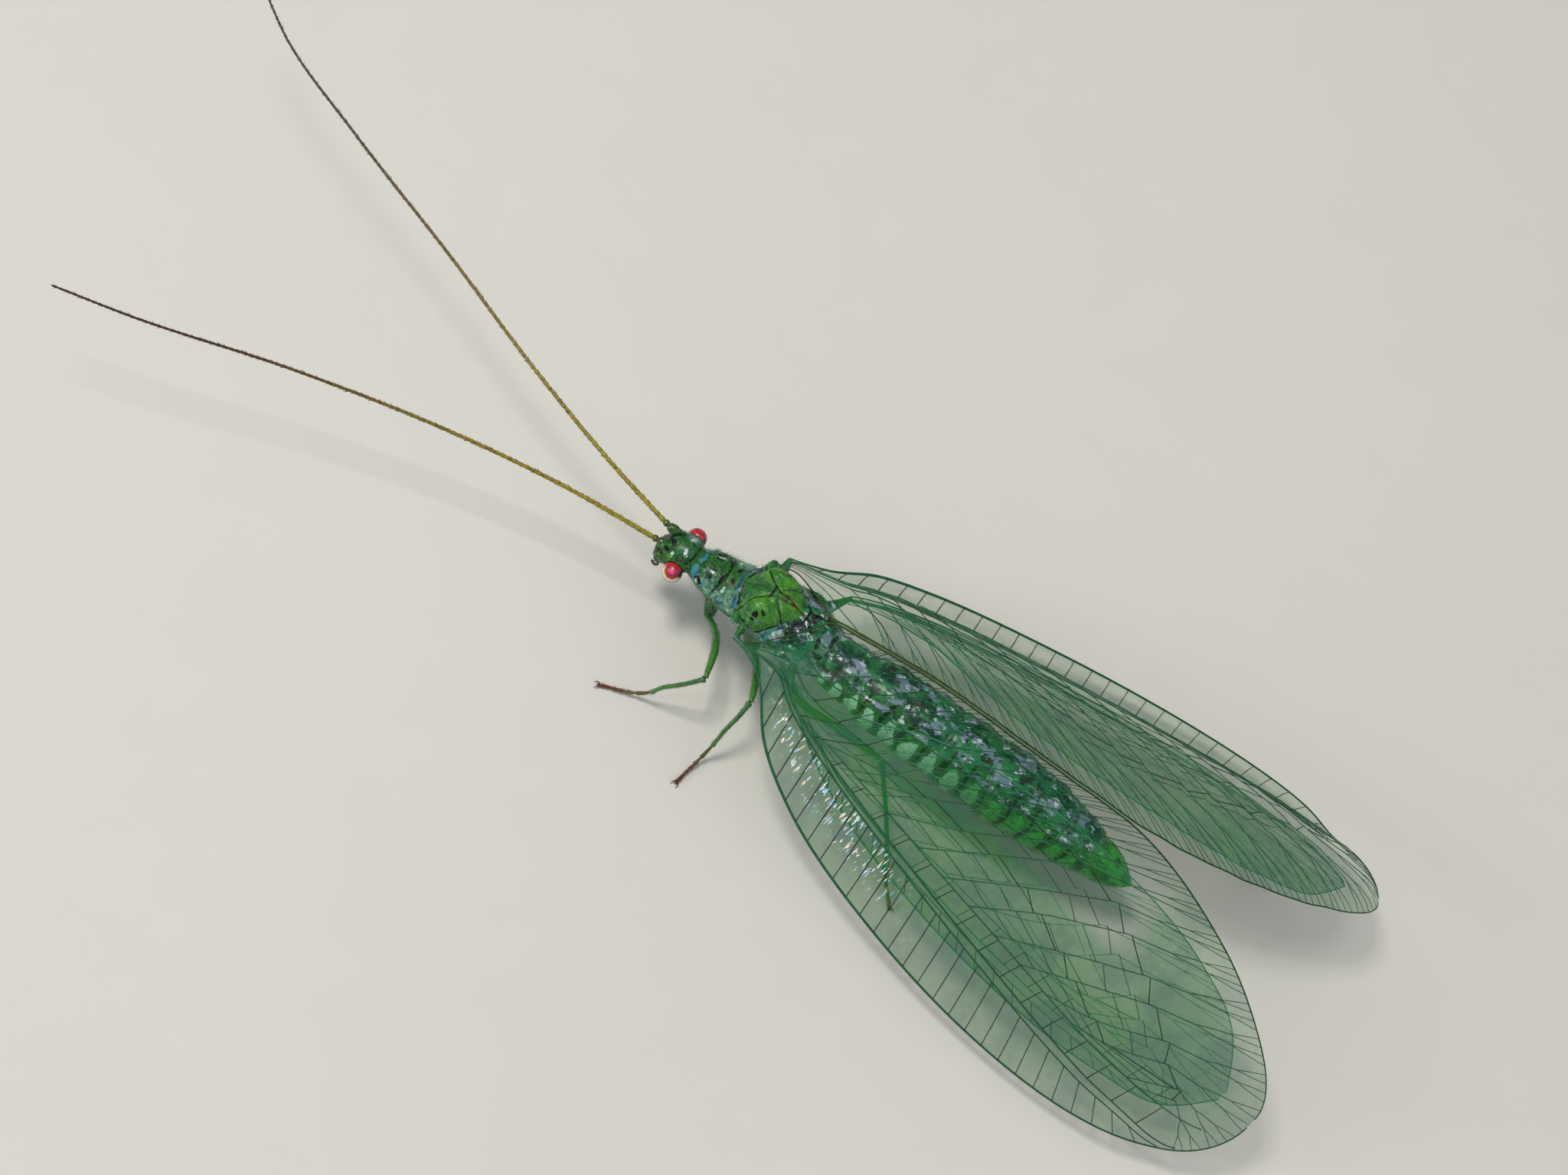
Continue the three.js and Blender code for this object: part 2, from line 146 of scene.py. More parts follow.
def through(stations: Sequence[float], values: Sequence[float], x: np.ndarray) -> np.ndarray:
    """Smooth curve through values given at rising stations.

    Args:
        stations: where the values are given.
        values: the value at each station.
        x: where to read the curve.

    Returns:
        The curve at x, straight on past the ends.
    """
    xs, ys = np.asarray(stations, float), np.asarray(values, float)
    step = np.diff(xs)
    slope = np.diff(ys) / step
    tangent = np.empty(len(xs))
    tangent[0], tangent[-1] = slope[0], slope[-1]
    tangent[1:-1] = (slope[:-1] * step[1:] + slope[1:] * step[:-1]) / (step[1:] + step[:-1])
    i = np.clip(np.searchsorted(xs, x, side="right") - 1, 0, len(xs) - 2)
    t = (x - xs[i]) / step[i]
    t2, t3 = t * t, t * t * t
    start = (2 * t3 - 3 * t2 + 1) * ys[i] + (t3 - 2 * t2 + t) * step[i] * tangent[i]
    return start + (3 * t2 - 2 * t3) * ys[i + 1] + (t3 - t2) * step[i] * tangent[i + 1]


def path_steps(points: np.ndarray) -> np.ndarray:
    """Lengths of the steps from point to point."""
    return np.linalg.norm(np.diff(points, axis=0), axis=1)


def read_rows(places: np.ndarray, known: np.ndarray, rows: np.ndarray) -> np.ndarray:
    """Rows of numbers, given at known places, read at other places."""
    return np.stack([np.interp(places, known, rows[:, k]) for k in range(rows.shape[1])], axis=1)


def spaced(line: np.ndarray, count: int) -> np.ndarray:
    """Points spaced evenly along a line."""
    run = np.concatenate([[0], np.cumsum(path_steps(line))])
    return read_rows(np.linspace(0, run[-1], count), run, line)


def smooth_path(points: Sequence[Sequence[float]], count: int) -> np.ndarray:
    """Smooth curve through points.

    Args:
        points: what it passes through.
        count: how many points to return.

    Returns:
        Points spaced evenly along the curve.
    """
    knots = np.asarray(points, float)
    places = np.concatenate([[0], np.cumsum(path_steps(knots))])
    fine = np.linspace(0, places[-1], 8 * count)
    curve = np.stack([through(places, knots[:, k], fine) for k in range(knots.shape[1])], axis=1)
    return spaced(curve, count)


def rough_noise(points: np.ndarray, size: float, seed: float) -> np.ndarray:
    """Smooth noise from about -1 to 1 whose bumps are about size across."""
    return np.array([noise.noise(Vector(p) / size + Vector((seed, 0, 0))) for p in points])


@dataclass
class Frame:
    """Place of the insect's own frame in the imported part."""

    eye: Vector = field(default_factory=lambda: Vector((0.43, 0.085, 1.7)))
    origin: Vector = field(default_factory=Vector)

    def find(self) -> None:
        """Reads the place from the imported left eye."""
        low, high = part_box("eye_left")
        self.origin = (low + high) / 2 - self.eye * MM

    def metres(self, points: np.ndarray) -> np.ndarray:
        """Points of the insect's frame as metres in the part's frame."""
        return np.asarray(points, float) * MM + np.array(self.origin)

    def millimetres(self, points: np.ndarray) -> np.ndarray:
        """Points of the part's frame as millimetres in the insect's frame."""
        return (np.asarray(points, float) - np.array(self.origin)) / MM


FRAME = Frame()


@dataclass
class Shape:
    """Points, faces and their values for one piece, gathered before its mesh is made."""

    points: list[np.ndarray] = field(default_factory=list)
    faces: list[np.ndarray] = field(default_factory=list)
    finishes: list[np.ndarray] = field(default_factory=list)
    unwrap: list[np.ndarray] = field(default_factory=list)
    values: dict[str, list[np.ndarray]] = field(default_factory=dict)
    count: int = 0

    def add(
        self,
        points: np.ndarray,
        faces: np.ndarray,
        unwrap: np.ndarray,
        finish: int = 0,
        values: dict[str, np.ndarray] | None = None,
    ) -> None:
        """Adds points and faces.

        Args:
            points: places in millimetres.
            faces: corner indices, three or four to a face.
            unwrap: place on the bake map of each point, or of each face corner.
            finish: which of the piece's materials the faces wear.
            values: masks for each point.
        """
        faces = np.asarray(faces, int)
        per_corner = unwrap if len(unwrap) == faces.size else np.asarray(unwrap)[faces.ravel()]
        self.add_faces(faces, per_corner, finish, self.count)
        self.points.append(np.asarray(points, float))
        for name, mask in (values or {}).items():
            self.values.setdefault(name, []).append(np.asarray(mask, float))
        self.count += len(points)

    def add_faces(self, faces: np.ndarray, unwrap: np.ndarray, finish: int, first: int) -> None:
        """Adds faces between points that the shape has.

        Args:
            faces: corner indices, three or four to a face, counted from first.
            unwrap: place on the bake map of each face corner.
            finish: which of the piece's materials the faces wear.
            first: index of the point that the corners are counted from.
        """
        self.faces.append(faces + first)
        self.finishes.append(np.full(len(faces), finish))
        self.unwrap.append(np.asarray(unwrap, float))

    def build(self, name: str, materials: Sequence[bpy.types.Material]) -> bpy.types.Object:
        """Makes the mesh object.

        Args:
            name: the piece's name.
            materials: the finishes that its faces wear.

        Returns:
            The object, smooth shaded, riding on the body.
        """
        mesh = bpy.data.meshes.new(name)
        places = FRAME.metres(np.concatenate(self.points))
        loops = np.concatenate([f.ravel() for f in self.faces])
        sizes = np.concatenate([np.full(len(f), f.shape[1]) for f in self.faces])
        mesh.vertices.add(len(places))
        mesh.vertices.foreach_set("co", places.astype(np.float32).ravel())
        mesh.loops.add(len(loops))
        mesh.loops.foreach_set("vertex_index", loops.astype(np.int32))
        mesh.polygons.add(len(sizes))
        starts = np.concatenate([[0], np.cumsum(sizes)[:-1]])
        mesh.polygons.foreach_set("loop_start", starts.astype(np.int32))
        mesh.polygons.foreach_set("material_index", np.concatenate(self.finishes).astype(np.int32))
        layer = mesh.uv_layers.new(name=BAKE_MAP)
        layer.data.foreach_set("uv", np.concatenate(self.unwrap).astype(np.float32).ravel())
        for mask, parts in self.values.items():
            attribute = mesh.attributes.new(mask, "FLOAT", "POINT")
            attribute.data.foreach_set("value", np.concatenate(parts).astype(np.float32))
        mesh.update(calc_edges=True)
        mesh.validate()
        mesh.shade_smooth()
        for material in materials:
            mesh.materials.append(material)
        piece = bpy.data.objects.new(name, mesh)
        bpy.context.scene.collection.objects.link(piece)
        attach(piece, BODY)
        LOG.info("%s: %d points, %d faces", name, len(places), len(sizes))
        return piece


def ring_quads(steps: int, sides: int) -> np.ndarray:
    """Quads between rings of points, each ring closed.

    Args:
        steps: gaps between one ring and the next.
        sides: points of a ring.

    Returns:
        Four corners to a row.
    """
    i, j = np.meshgrid(np.arange(steps), np.arange(sides), indexing="ij")
    here, side = i * sides + j, i * sides + (j + 1) % sides
    return np.stack([here, side, side + sides, here + sides], axis=-1).reshape(-1, 4)


def tube(
    path: np.ndarray, radii: np.ndarray, sides: int, flatten: float = 1.0
) -> tuple[np.ndarray, np.ndarray, np.ndarray, np.ndarray]:
    """Closed round tube along a path.

    Args:
        path: centre points.
        radii: radius at each centre point.
        sides: corners of the section.
        flatten: height of the section over its width.

    Returns:
        Points, quads, the triangles of both caps, and for each point its share of the way
        along and its angle, both from 0 to 1.
    """
    tangents = unit(np.gradient(path, axis=0))
    start = np.array([0, 0, 1.0]) if abs(tangents[0, 2]) < 0.9 else np.array([0, 1.0, 0])
    normals = np.empty_like(path)
    current = start
    for i, tangent in enumerate(tangents):
        current = unit(current - tangent * (current @ tangent))
        normals[i] = current
    across = np.cross(tangents, normals)
    angle = np.arange(sides) / sides * 2 * math.pi
    ring = (
        across[:, None, :] * np.cos(angle)[None, :, None]
        + normals[:, None, :] * np.sin(angle)[None, :, None] * flatten
    )
    body = path[:, None, :] + ring * np.asarray(radii)[:, None, None]
    near, far = tangents[0] * radii[0] * CAP_HEIGHT, tangents[-1] * radii[-1] * CAP_HEIGHT
    caps = np.stack([path[0] - near, path[-1] + far])
    points = np.concatenate([body.reshape(-1, 3), caps])
    n = len(path)
    quads = ring_quads(n - 1, sides)
    last = (n - 1) * sides
    k = np.arange(sides)
    first_cap = np.stack([(k + 1) % sides, k, np.full(sides, n * sides)], axis=1)
    last_cap = np.stack([last + k, last + (k + 1) % sides, np.full(sides, n * sides + 1)], axis=1)
    along = np.concatenate([np.repeat(np.linspace(0, 1, n), sides), [0, 1]])
    turn = np.concatenate([np.tile(np.arange(sides) / sides, n), [0, 0]])
    return points, quads, np.concatenate([first_cap, last_cap]), np.stack([along, turn], axis=1)


def add_tube(
    shape: Shape,
    path: np.ndarray,
    radii: np.ndarray,
    sides: int,
    finish: int = 0,
    flatten: float = 1.0,
    unwrap: Callable[[np.ndarray], np.ndarray] | None = None,
) -> None:
    """Adds a closed tube to a shape.

    Args:
        shape: where it goes.
        path: centre points.
        radii: radius at each centre point.
        sides: corners of the section.
        finish: which of the piece's materials it wears.
        flatten: height of the section over its width.
        unwrap: turns pairs of way along and angle into map places.
    """
    points, quads, caps, places = tube(path, radii, sides, flatten)
    spots = unwrap(places) if unwrap else places
    first = shape.count
    shape.add(points, quads, spots, finish, {Trait.ALONG.value: places[:, 0]})
    shape.add_faces(caps, spots[caps.ravel()], finish, first)


def add_setae(
    shape: Shape,
    roots: np.ndarray,
    directions: np.ndarray,
    lengths: np.ndarray,
    spots: np.ndarray,
    bend: np.ndarray,
    values: dict[str, np.ndarray] | None = None,
    radius: float = SETA_RADIUS,
) -> None:
    """Adds fine tapering bristles, each bent once on its way.

    Args:
        shape: where they go.
        roots: their root points.
        directions: unit directions at the root.
        lengths: their lengths.
        spots: the map place of each root.
        bend: what is added to the direction past the middle.
        values: masks for each root.
        radius: their root radius.
    """
    n = len(roots)
    if n == 0:
        return
    side = unit(np.cross(directions, np.array([0.31, 0.52, 0.79])))
    other = np.cross(directions, side)
    sides = 3
    corners = []
    for place, share in SETA_STEPS:
        centre = roots + directions * (lengths * place)[:, None]
        for k in range(sides):
            angle = 2 * math.pi * k / sides
            spoke = side * math.cos(angle) + other * math.sin(angle)
            corners.append(centre + spoke * radius * share)
    middle = roots + directions * (lengths * 0.5)[:, None]
    corners.append(middle + unit(directions + bend) * (lengths * 0.5)[:, None])
    points = np.stack(corners, axis=1).reshape(-1, 3)
    per = 2 * sides + 1
    base = np.arange(n)[:, None] * per
    quads = np.array([[k, (k + 1) % sides, sides + (k + 1) % sides, sides + k] for k in range(sides)])
    tips = np.array([[sides + k, sides + (k + 1) % sides, 2 * sides] for k in range(sides)])
    corner_spots = np.array([[-1, -1], [0, -1], [1, -1], [-1, 0], [0, 0], [1, 0], [0, 1]], float)
    places = (spots[:, None, :] + corner_spots[None] * SETA_PATCH).reshape(-1, 2)
    spread = {name: np.repeat(mask, per) for name, mask in (values or {}).items()}
    first = shape.count
    shape.add(points, (base[:, None] + quads[None]).reshape(-1, 4), places, 0, spread)
    tip_faces = (base[:, None] + tips[None]).reshape(-1, 3)
    shape.add_faces(tip_faces, places[tip_faces.ravel()], 0, first)


def scatter(
    line: np.ndarray, widths: np.ndarray, count: int, sunk: float, rng: np.random.Generator
) -> tuple[np.ndarray, np.ndarray, np.ndarray, np.ndarray]:
    """Picks places at random on a round part.

    Args:
        line: its centre points.
        widths: its radius at each.
        count: how many places.
        sunk: share of the radius at which a root lies.
        rng: the source of chance.

    Returns:
        Places along the line, roots, directions ahead and directions outward.
    """
    at = rng.uniform(0, len(line) - 2, count)
    low = at.astype(int)
    step = line[low + 1] - line[low]
    ahead = unit(step)
    turn = unit(np.cross(ahead, rng.normal(0, 1, ahead.shape)))
    roots = line[low] + step * (at - low)[:, None] + turn * widths[low][:, None] * sunk
    return at, roots, ahead, turn


def random_spots(at: np.ndarray, rows: int, rng: np.random.Generator) -> np.ndarray:
    """Map places of setae: their way along the part, and any place across."""
    return np.stack([at / rows, rng.uniform(0.01, 0.99, len(at))], axis=1)



class Tree:
    """A node tree with short ways to add what the finishes use."""

    def __init__(self, tree: bpy.types.NodeTree) -> None:
        """Wraps a tree."""
        self.tree = tree
        self.nodes = tree.nodes

    def add(self, kind: str, **settings: object) -> bpy.types.Node:
        """Adds a node.

        Args:
            kind: its type.
            **settings: its properties.

        Returns:
            The node.
        """
        node = self.nodes.new(kind)
        for name, value in settings.items():
            setattr(node, name, value)
        return node

    def feed(self, socket: bpy.types.NodeSocket, value: Value) -> None:
        """Links an output to a socket, or sets the socket to a plain value.

        Args:
            socket: the input.
            value: an output, or the plain value.
        """
        if isinstance(value, bpy.types.NodeSocket):
            self.tree.links.new(value, socket)
        else:
            socket.default_value = value

    def math(self, operation: str, a: Value, b: Value = 0.0, clamp: bool = False) -> bpy.types.NodeSocket:
        """Adds a sum.

        Args:
            operation: which one.
            a: the first value.
            b: the second value.
            clamp: whether to hold the result between 0 and 1.

        Returns:
            The result.
        """
        node = self.add("ShaderNodeMath", operation=operation, use_clamp=clamp)
        self.feed(node.inputs[0], a)
        self.feed(node.inputs[1], b)
        return node.outputs[0]

    def product(self, a: Value, b: Value) -> bpy.types.NodeSocket:
        """Two values multiplied."""
        return self.math("MULTIPLY", a, b)

    def mix(self, factor: Value, a: Value, b: Value) -> bpy.types.NodeSocket:
        """Mixes two colours.

        Args:
            factor: the second colour's share.
            a: the first colour.
            b: the second colour.

        Returns:
            The mixed colour.
        """
        node = self.add("ShaderNodeMix", data_type="RGBA")
        self.feed(node.inputs["Factor"], factor)
        self.feed(node.inputs[6], a)
        self.feed(node.inputs[7], b)
        return node.outputs[2]

    def spread(
        self, value: Value, low: Value, high: Value, to_low: float = 0.0, to_high: float = 1.0
    ) -> bpy.types.NodeSocket:
        """Maps a value from one range to another and holds it inside.

        Args:
            value: what is mapped.
            low: where its range starts.
            high: where its range ends.
            to_low: the result at low.
            to_high: the result at high.

        Returns:
            The result.
        """
        node = self.add("ShaderNodeMapRange", interpolation_type="SMOOTHSTEP")
        given = {"Value": value, "From Min": low, "From Max": high, "To Min": to_low, "To Max": to_high}
        for name, number in given.items():
            self.feed(node.inputs[name], number)
        return node.outputs["Result"]

    def vector(self, operation: str, a: Value, b: Sequence[float] | None = None) -> bpy.types.Node:
        """Adds a sum of vectors.

        Args:
            operation: which one.
            a: the first vector.
            b: the second vector, where the sum has one.

        Returns:
            The node.
        """
        node = self.add("ShaderNodeVectorMath", operation=operation)
        self.feed(node.inputs[0], a)
        if b is not None:
            node.inputs[1].default_value = b
        return node

    def texture(self, kind: str, place: Value, scale: Value, **settings: object) -> bpy.types.Node:
        """Adds a texture.

        Args:
            kind: its node type.
            place: where it is read.
            scale: its bumps to a unit of length.
            **settings: the node's properties.

        Returns:
            The node.
        """
        node = self.add(kind, **settings)
        self.feed(node.inputs["Vector"], place)
        self.feed(node.inputs["Scale"], scale)
        return node

    def place(self) -> bpy.types.NodeSocket:
        """The point on the object, in metres."""
        return self.add("ShaderNodeTexCoord").outputs["Object"]

    def mask(self, which: Tone | Trait) -> bpy.types.NodeSocket:
        """A mask that the mesh carries."""
        return self.add("ShaderNodeAttribute", attribute_name=which.value).outputs["Fac"]

    def crisp(self, tone: Tone) -> bpy.types.NodeSocket:
        """A marking's mask with a hard edge."""
        return self.spread(self.mask(tone), 0.42, 0.62)

    def group(self, tree: bpy.types.NodeTree, **values: Value) -> bpy.types.Node:
        """Adds a shared node group.

        Args:
            tree: the group.
            **values: what its inputs are fed, with _ for a space in their names.

        Returns:
            The group's node.
        """
        node = self.add("ShaderNodeGroup", node_tree=tree)
        for name, value in values.items():
            self.feed(node.inputs[name.replace("_", " ")], value)
        return node


def new_group(
    name: str, inputs: dict[str, float], output: str
) -> tuple[Tree, bpy.types.Node, bpy.types.Node]:
    """Starts a shader node group.

    Args:
        name: its name.
        inputs: number inputs with their usual values; a Place vector input is always added.
        output: the name of its number output.

    Returns:
        The tree, its input node and its output node.
    """
    group = bpy.data.node_groups.new(name, "ShaderNodeTree")
    group.interface.new_socket("Place", in_out="INPUT", socket_type="NodeSocketVector")
    for label, value in inputs.items():
        socket = group.interface.new_socket(label, in_out="INPUT", socket_type="NodeSocketFloat")
        socket.default_value = value
    group.interface.new_socket(output, in_out="OUTPUT", socket_type="NodeSocketFloat")
    tree = Tree(group)
    return tree, tree.add("NodeGroupInput"), tree.add("NodeGroupOutput")


class Effects:
    """Effects that several finishes share, each one node group."""

    def __init__(self) -> None:
        """Builds the groups."""
        self.mottle = self.build_mottle()
        self.grain = self.build_grain()

    def build_mottle(self) -> bpy.types.NodeTree:
        """Builds soft blotches with a fine speckle over them.

        Returns:
            The group, with one mask as its output.
        """
        usual = {"Blotches": 6000.0, "Speckles": 40000.0, "Edge": 0.5, "Softness": 0.1}
        tree, given, result = new_group("soft_mottle", usual, "Mask")
        masks = []
        for label, weight in (("Blotches", 0.72), ("Speckles", 0.28)):
            texture = tree.texture("ShaderNodeTexNoise", given.outputs["Place"], given.outputs[label])
            texture.inputs["Detail"].default_value = 4.0
            masks.append(tree.product(texture.outputs["Fac"], weight))
        total = tree.math("ADD", *masks)
        low = tree.math("SUBTRACT", given.outputs["Edge"], given.outputs["Softness"])
        high = tree.math("ADD", given.outputs["Edge"], given.outputs["Softness"])
        tree.feed(result.inputs["Mask"], tree.spread(total, low, high))
        return tree.tree

    def build_grain(self) -> bpy.types.NodeTree:
        """Builds fine cuticle relief: shallow cells over soft wrinkles.

        Returns:
            The group, with one height as its output.
        """
        usual = {"Cells": 30000.0, "Wrinkles": 9000.0, "Wrinkle Share": 0.6}
        tree, given, result = new_group("cuticle_grain", usual, "Height")
        place, share = given.outputs["Place"], given.outputs["Wrinkle Share"]
        cell = tree.texture("ShaderNodeTexVoronoi", place, given.outputs["Cells"], feature="SMOOTH_F1")
        fold = tree.texture("ShaderNodeTexNoise", place, given.outputs["Wrinkles"])
        fold.inputs["Detail"].default_value = 5.0
        fold.inputs["Distortion"].default_value = 0.6
        wrinkle = tree.product(fold.outputs["Fac"], share)
        cells = tree.product(cell.outputs[0], tree.math("SUBTRACT", 1.0, share))
        tree.feed(result.inputs["Height"], tree.math("ADD", wrinkle, cells))
        return tree.tree


@dataclass(frozen=True)
class Finish:
    """A surface finish: settings of its own shader, and a tree that subclasses fill in."""

    name: str
    roughness: float = 0.35
    coat: float = 0.0
    coat_roughness: float = 0.1
    alpha: float = 1.0
    metallic: float = 0.0
    specular: float = 0.5

    def make(self, effects: Effects) -> bpy.types.Material:
        """Makes the material.

        Args:
            effects: the shared node groups.

        Returns:
            The material, its colour and relief painted by paint().
        """
        material = bpy.data.materials.new(self.name)
        material.use_nodes = True
        tree = Tree(material.node_tree)
        tree.nodes.clear()
        shader = tree.add("ShaderNodeBsdfPrincipled")
        output = tree.add("ShaderNodeOutputMaterial")
        tree.feed(output.inputs["Surface"], shader.outputs["BSDF"])
        settings = {
            "Roughness": self.roughness,
            "Metallic": self.metallic,
            "Alpha": self.alpha,
            "Coat Weight": self.coat,
            "Coat Roughness": self.coat_roughness,
            "Specular IOR Level": self.specular,
        }
        for label, value in settings.items():
            shader.inputs[label].default_value = value
        self.paint(tree, shader, effects)
        return material

    def paint(self, tree: Tree, shader: bpy.types.Node, effects: Effects) -> None:
        """Feeds colour, roughness and relief to the shader; each finish has its own way."""
        raise NotImplementedError

    def relief(self, tree: Tree, shader: bpy.types.Node, height: Value, depth: float) -> None:
        """Bumps the surface.

        Args:
            tree: the material's nodes.
            shader: the node whose normal is fed.
            height: the height, from 0 to 1.
            depth: what a height of 1 comes to, in millimetres.
        """
        bump = tree.add("ShaderNodeBump")
        bump.inputs["Distance"].default_value = depth * MM
        tree.feed(bump.inputs["Height"], height)
        tree.feed(shader.inputs["Normal"], bump.outputs["Normal"])


@dataclass(frozen=True)
class Mottle:
    """Settings of one mottle: coarse and fine bumps to a millimetre, and where its edge lies and how soft."""

    coarse: float
    fine: float
    edge: float = 0.5
    soft: float = 0.1

    def mask(self, tree: Tree, effects: Effects, place: Value | None = None) -> bpy.types.NodeSocket:
        """Adds the mottle to a material.

        Args:
            tree: the material's nodes.
            effects: the shared node groups.
            place: where it is read, or None for the point on the object.

        Returns:
            Its mask.
        """
        node = tree.group(
            effects.mottle,
            Place=place or tree.place(),
            Blotches=self.coarse / MM,
            Speckles=self.fine / MM,
            Edge=self.edge,
            Softness=self.soft,
        )
        return node.outputs["Mask"]


@dataclass(frozen=True)
class Grain:
    """Settings of one fine relief: cells and wrinkles to a millimetre, and the wrinkles' share of it."""

    cells: float
    wrinkles: float
    share: float = 0.6

    def height(self, tree: Tree, effects: Effects) -> bpy.types.NodeSocket:
        """Adds the relief to a material.

        Args:
            tree: the material's nodes.
            effects: the shared node groups.

        Returns:
            Its height.
        """
        node = tree.group(
            effects.grain,
            Place=tree.place(),
            Cells=self.cells / MM,
            Wrinkles=self.wrinkles / MM,
            Wrinkle_Share=self.share,
        )
        return node.outputs["Height"]


@dataclass(frozen=True)
class Cuticle(Finish):
    """Glossy body cuticle in greens, with the masks of the markings and of painted highlights; pairs are a
    light and a dark shade.
    """

    ground: str = "1b5a2a"
    pale: str = "3a8638"
    shade: str = "123a24"
    dark: str = "050807"
    teal: tuple[str, str] = ("35858c", "1a3468")
    lime: tuple[str, str] = ("4c9226", "2c7420")
    deep: tuple[str, str] = ("1a6416", "092a0a")
    haze: tuple[str, str] = ("7fa898", "3a7a74")
    rust: str = "4c150d"
    mint: str = "a2e8bc"
    rear: str = "3cac40"
    # colour of the painted highlights laid by the glint mask
    light: str = "c9e2d6"
    clouds: tuple[str, str] = ("0d2c30", "27804e")
    plum: str = "2a1a28"
    # painted sheen and painted glints of the abdomen's back
    lilac_sheen: str = "8293ad"
    white_glint: str = "e6ecfb"
    back_stretch: Point = (1.3, 0.75, 1.0)
    bump: float = 0.018

    def back(self, tree: Tree, effects: Effects) -> bpy.types.NodeSocket:
        """Colour of the abdomen's back: clouds and plum flecks, with painted sheen in lilac patches and
        painted glints in white.

        Args:
            tree: the material's nodes.
            effects: the shared node groups.

        Returns:
            The colour.
        """
        place = tree.vector("MULTIPLY", tree.place(), self.back_stretch).outputs[0]
        clouds = Mottle(2.8, 12.0, 0.49, 0.05).mask(tree, effects, place)
        colour = tree.mix(clouds, *map(srgb, self.clouds))
        for mottle, code in (
            (Mottle(4.2, 16.0, 0.56, 0.035), self.plum),
            (Mottle(3.0, 13.0, 0.55, 0.035), self.lilac_sheen),
            (Mottle(6.0, 26.0, 0.61, 0.035), self.white_glint),
        ):
            colour = tree.mix(mottle.mask(tree, effects, place), colour, srgb(code))
        return colour

    def paint(self, tree: Tree, shader: bpy.types.Node, effects: Effects) -> None:
        """Paints mottled green, then each marking where its mask says, with the painted highlights last.

        Args:
            tree: the material's nodes.
            shader: the node that is fed.
            effects: the shared node groups.
        """
        soft = Mottle(5.2, 24.0, 0.5, 0.08).mask(tree, effects)
        fine = Mottle(16.0, 60.0, 0.53, 0.04).mask(tree, effects)
        speckle = Mottle(24.0, 70.0, 0.49, 0.04).mask(tree, effects)
        colour = tree.mix(soft, srgb(self.ground), srgb(self.pale))
        cell = tree.mix(tree.mask(Tone.REAR), srgb(self.mint), srgb(self.rear))
        for mask, over in (
            (tree.mask(Tone.DEEP), tree.mix(fine, *map(srgb, self.deep))),
            (tree.mask(Tone.HAZE), tree.mix(fine, *map(srgb, self.haze))),
            (tree.crisp(Tone.LIME), tree.mix(soft, *map(srgb, self.lime))),
            (tree.crisp(Tone.MINT), cell),
            (tree.product(fine, 0.35), srgb(self.shade)),
            # the abdomen's back: its own mottle with painted sheen and glints
            (tree.mask(Tone.BACK), self.back(tree, effects)),
            (tree.crisp(Tone.TEAL), tree.mix(soft, *map(srgb, self.teal))),
            (tree.crisp(Tone.RUST), srgb(self.rust)),
            (tree.crisp(Tone.DARK), srgb(self.dark)),
            # painted highlights: pale specks where the glint mask lies
            (tree.product(tree.crisp(Tone.GLINT), speckle), srgb(self.light)),
        ):
            colour = tree.mix(mask, colour, over)
        tree.feed(shader.inputs["Base Color"], colour)
        gloss = tree.spread(fine, 0.0, 1.0, self.roughness - 0.08, self.roughness + 0.12)
        dull = tree.mask(Tone.DEEP)
        tree.feed(shader.inputs["Roughness"], tree.math("ADD", gloss, tree.product(dull, 0.12)))
        coat = tree.product(tree.math("SUBTRACT", 1.0, dull), self.coat)
        tree.feed(shader.inputs["Coat Weight"], coat)
        self.relief(tree, shader, Grain(26.0, 8.0, 0.7).height(tree, effects), self.bump)


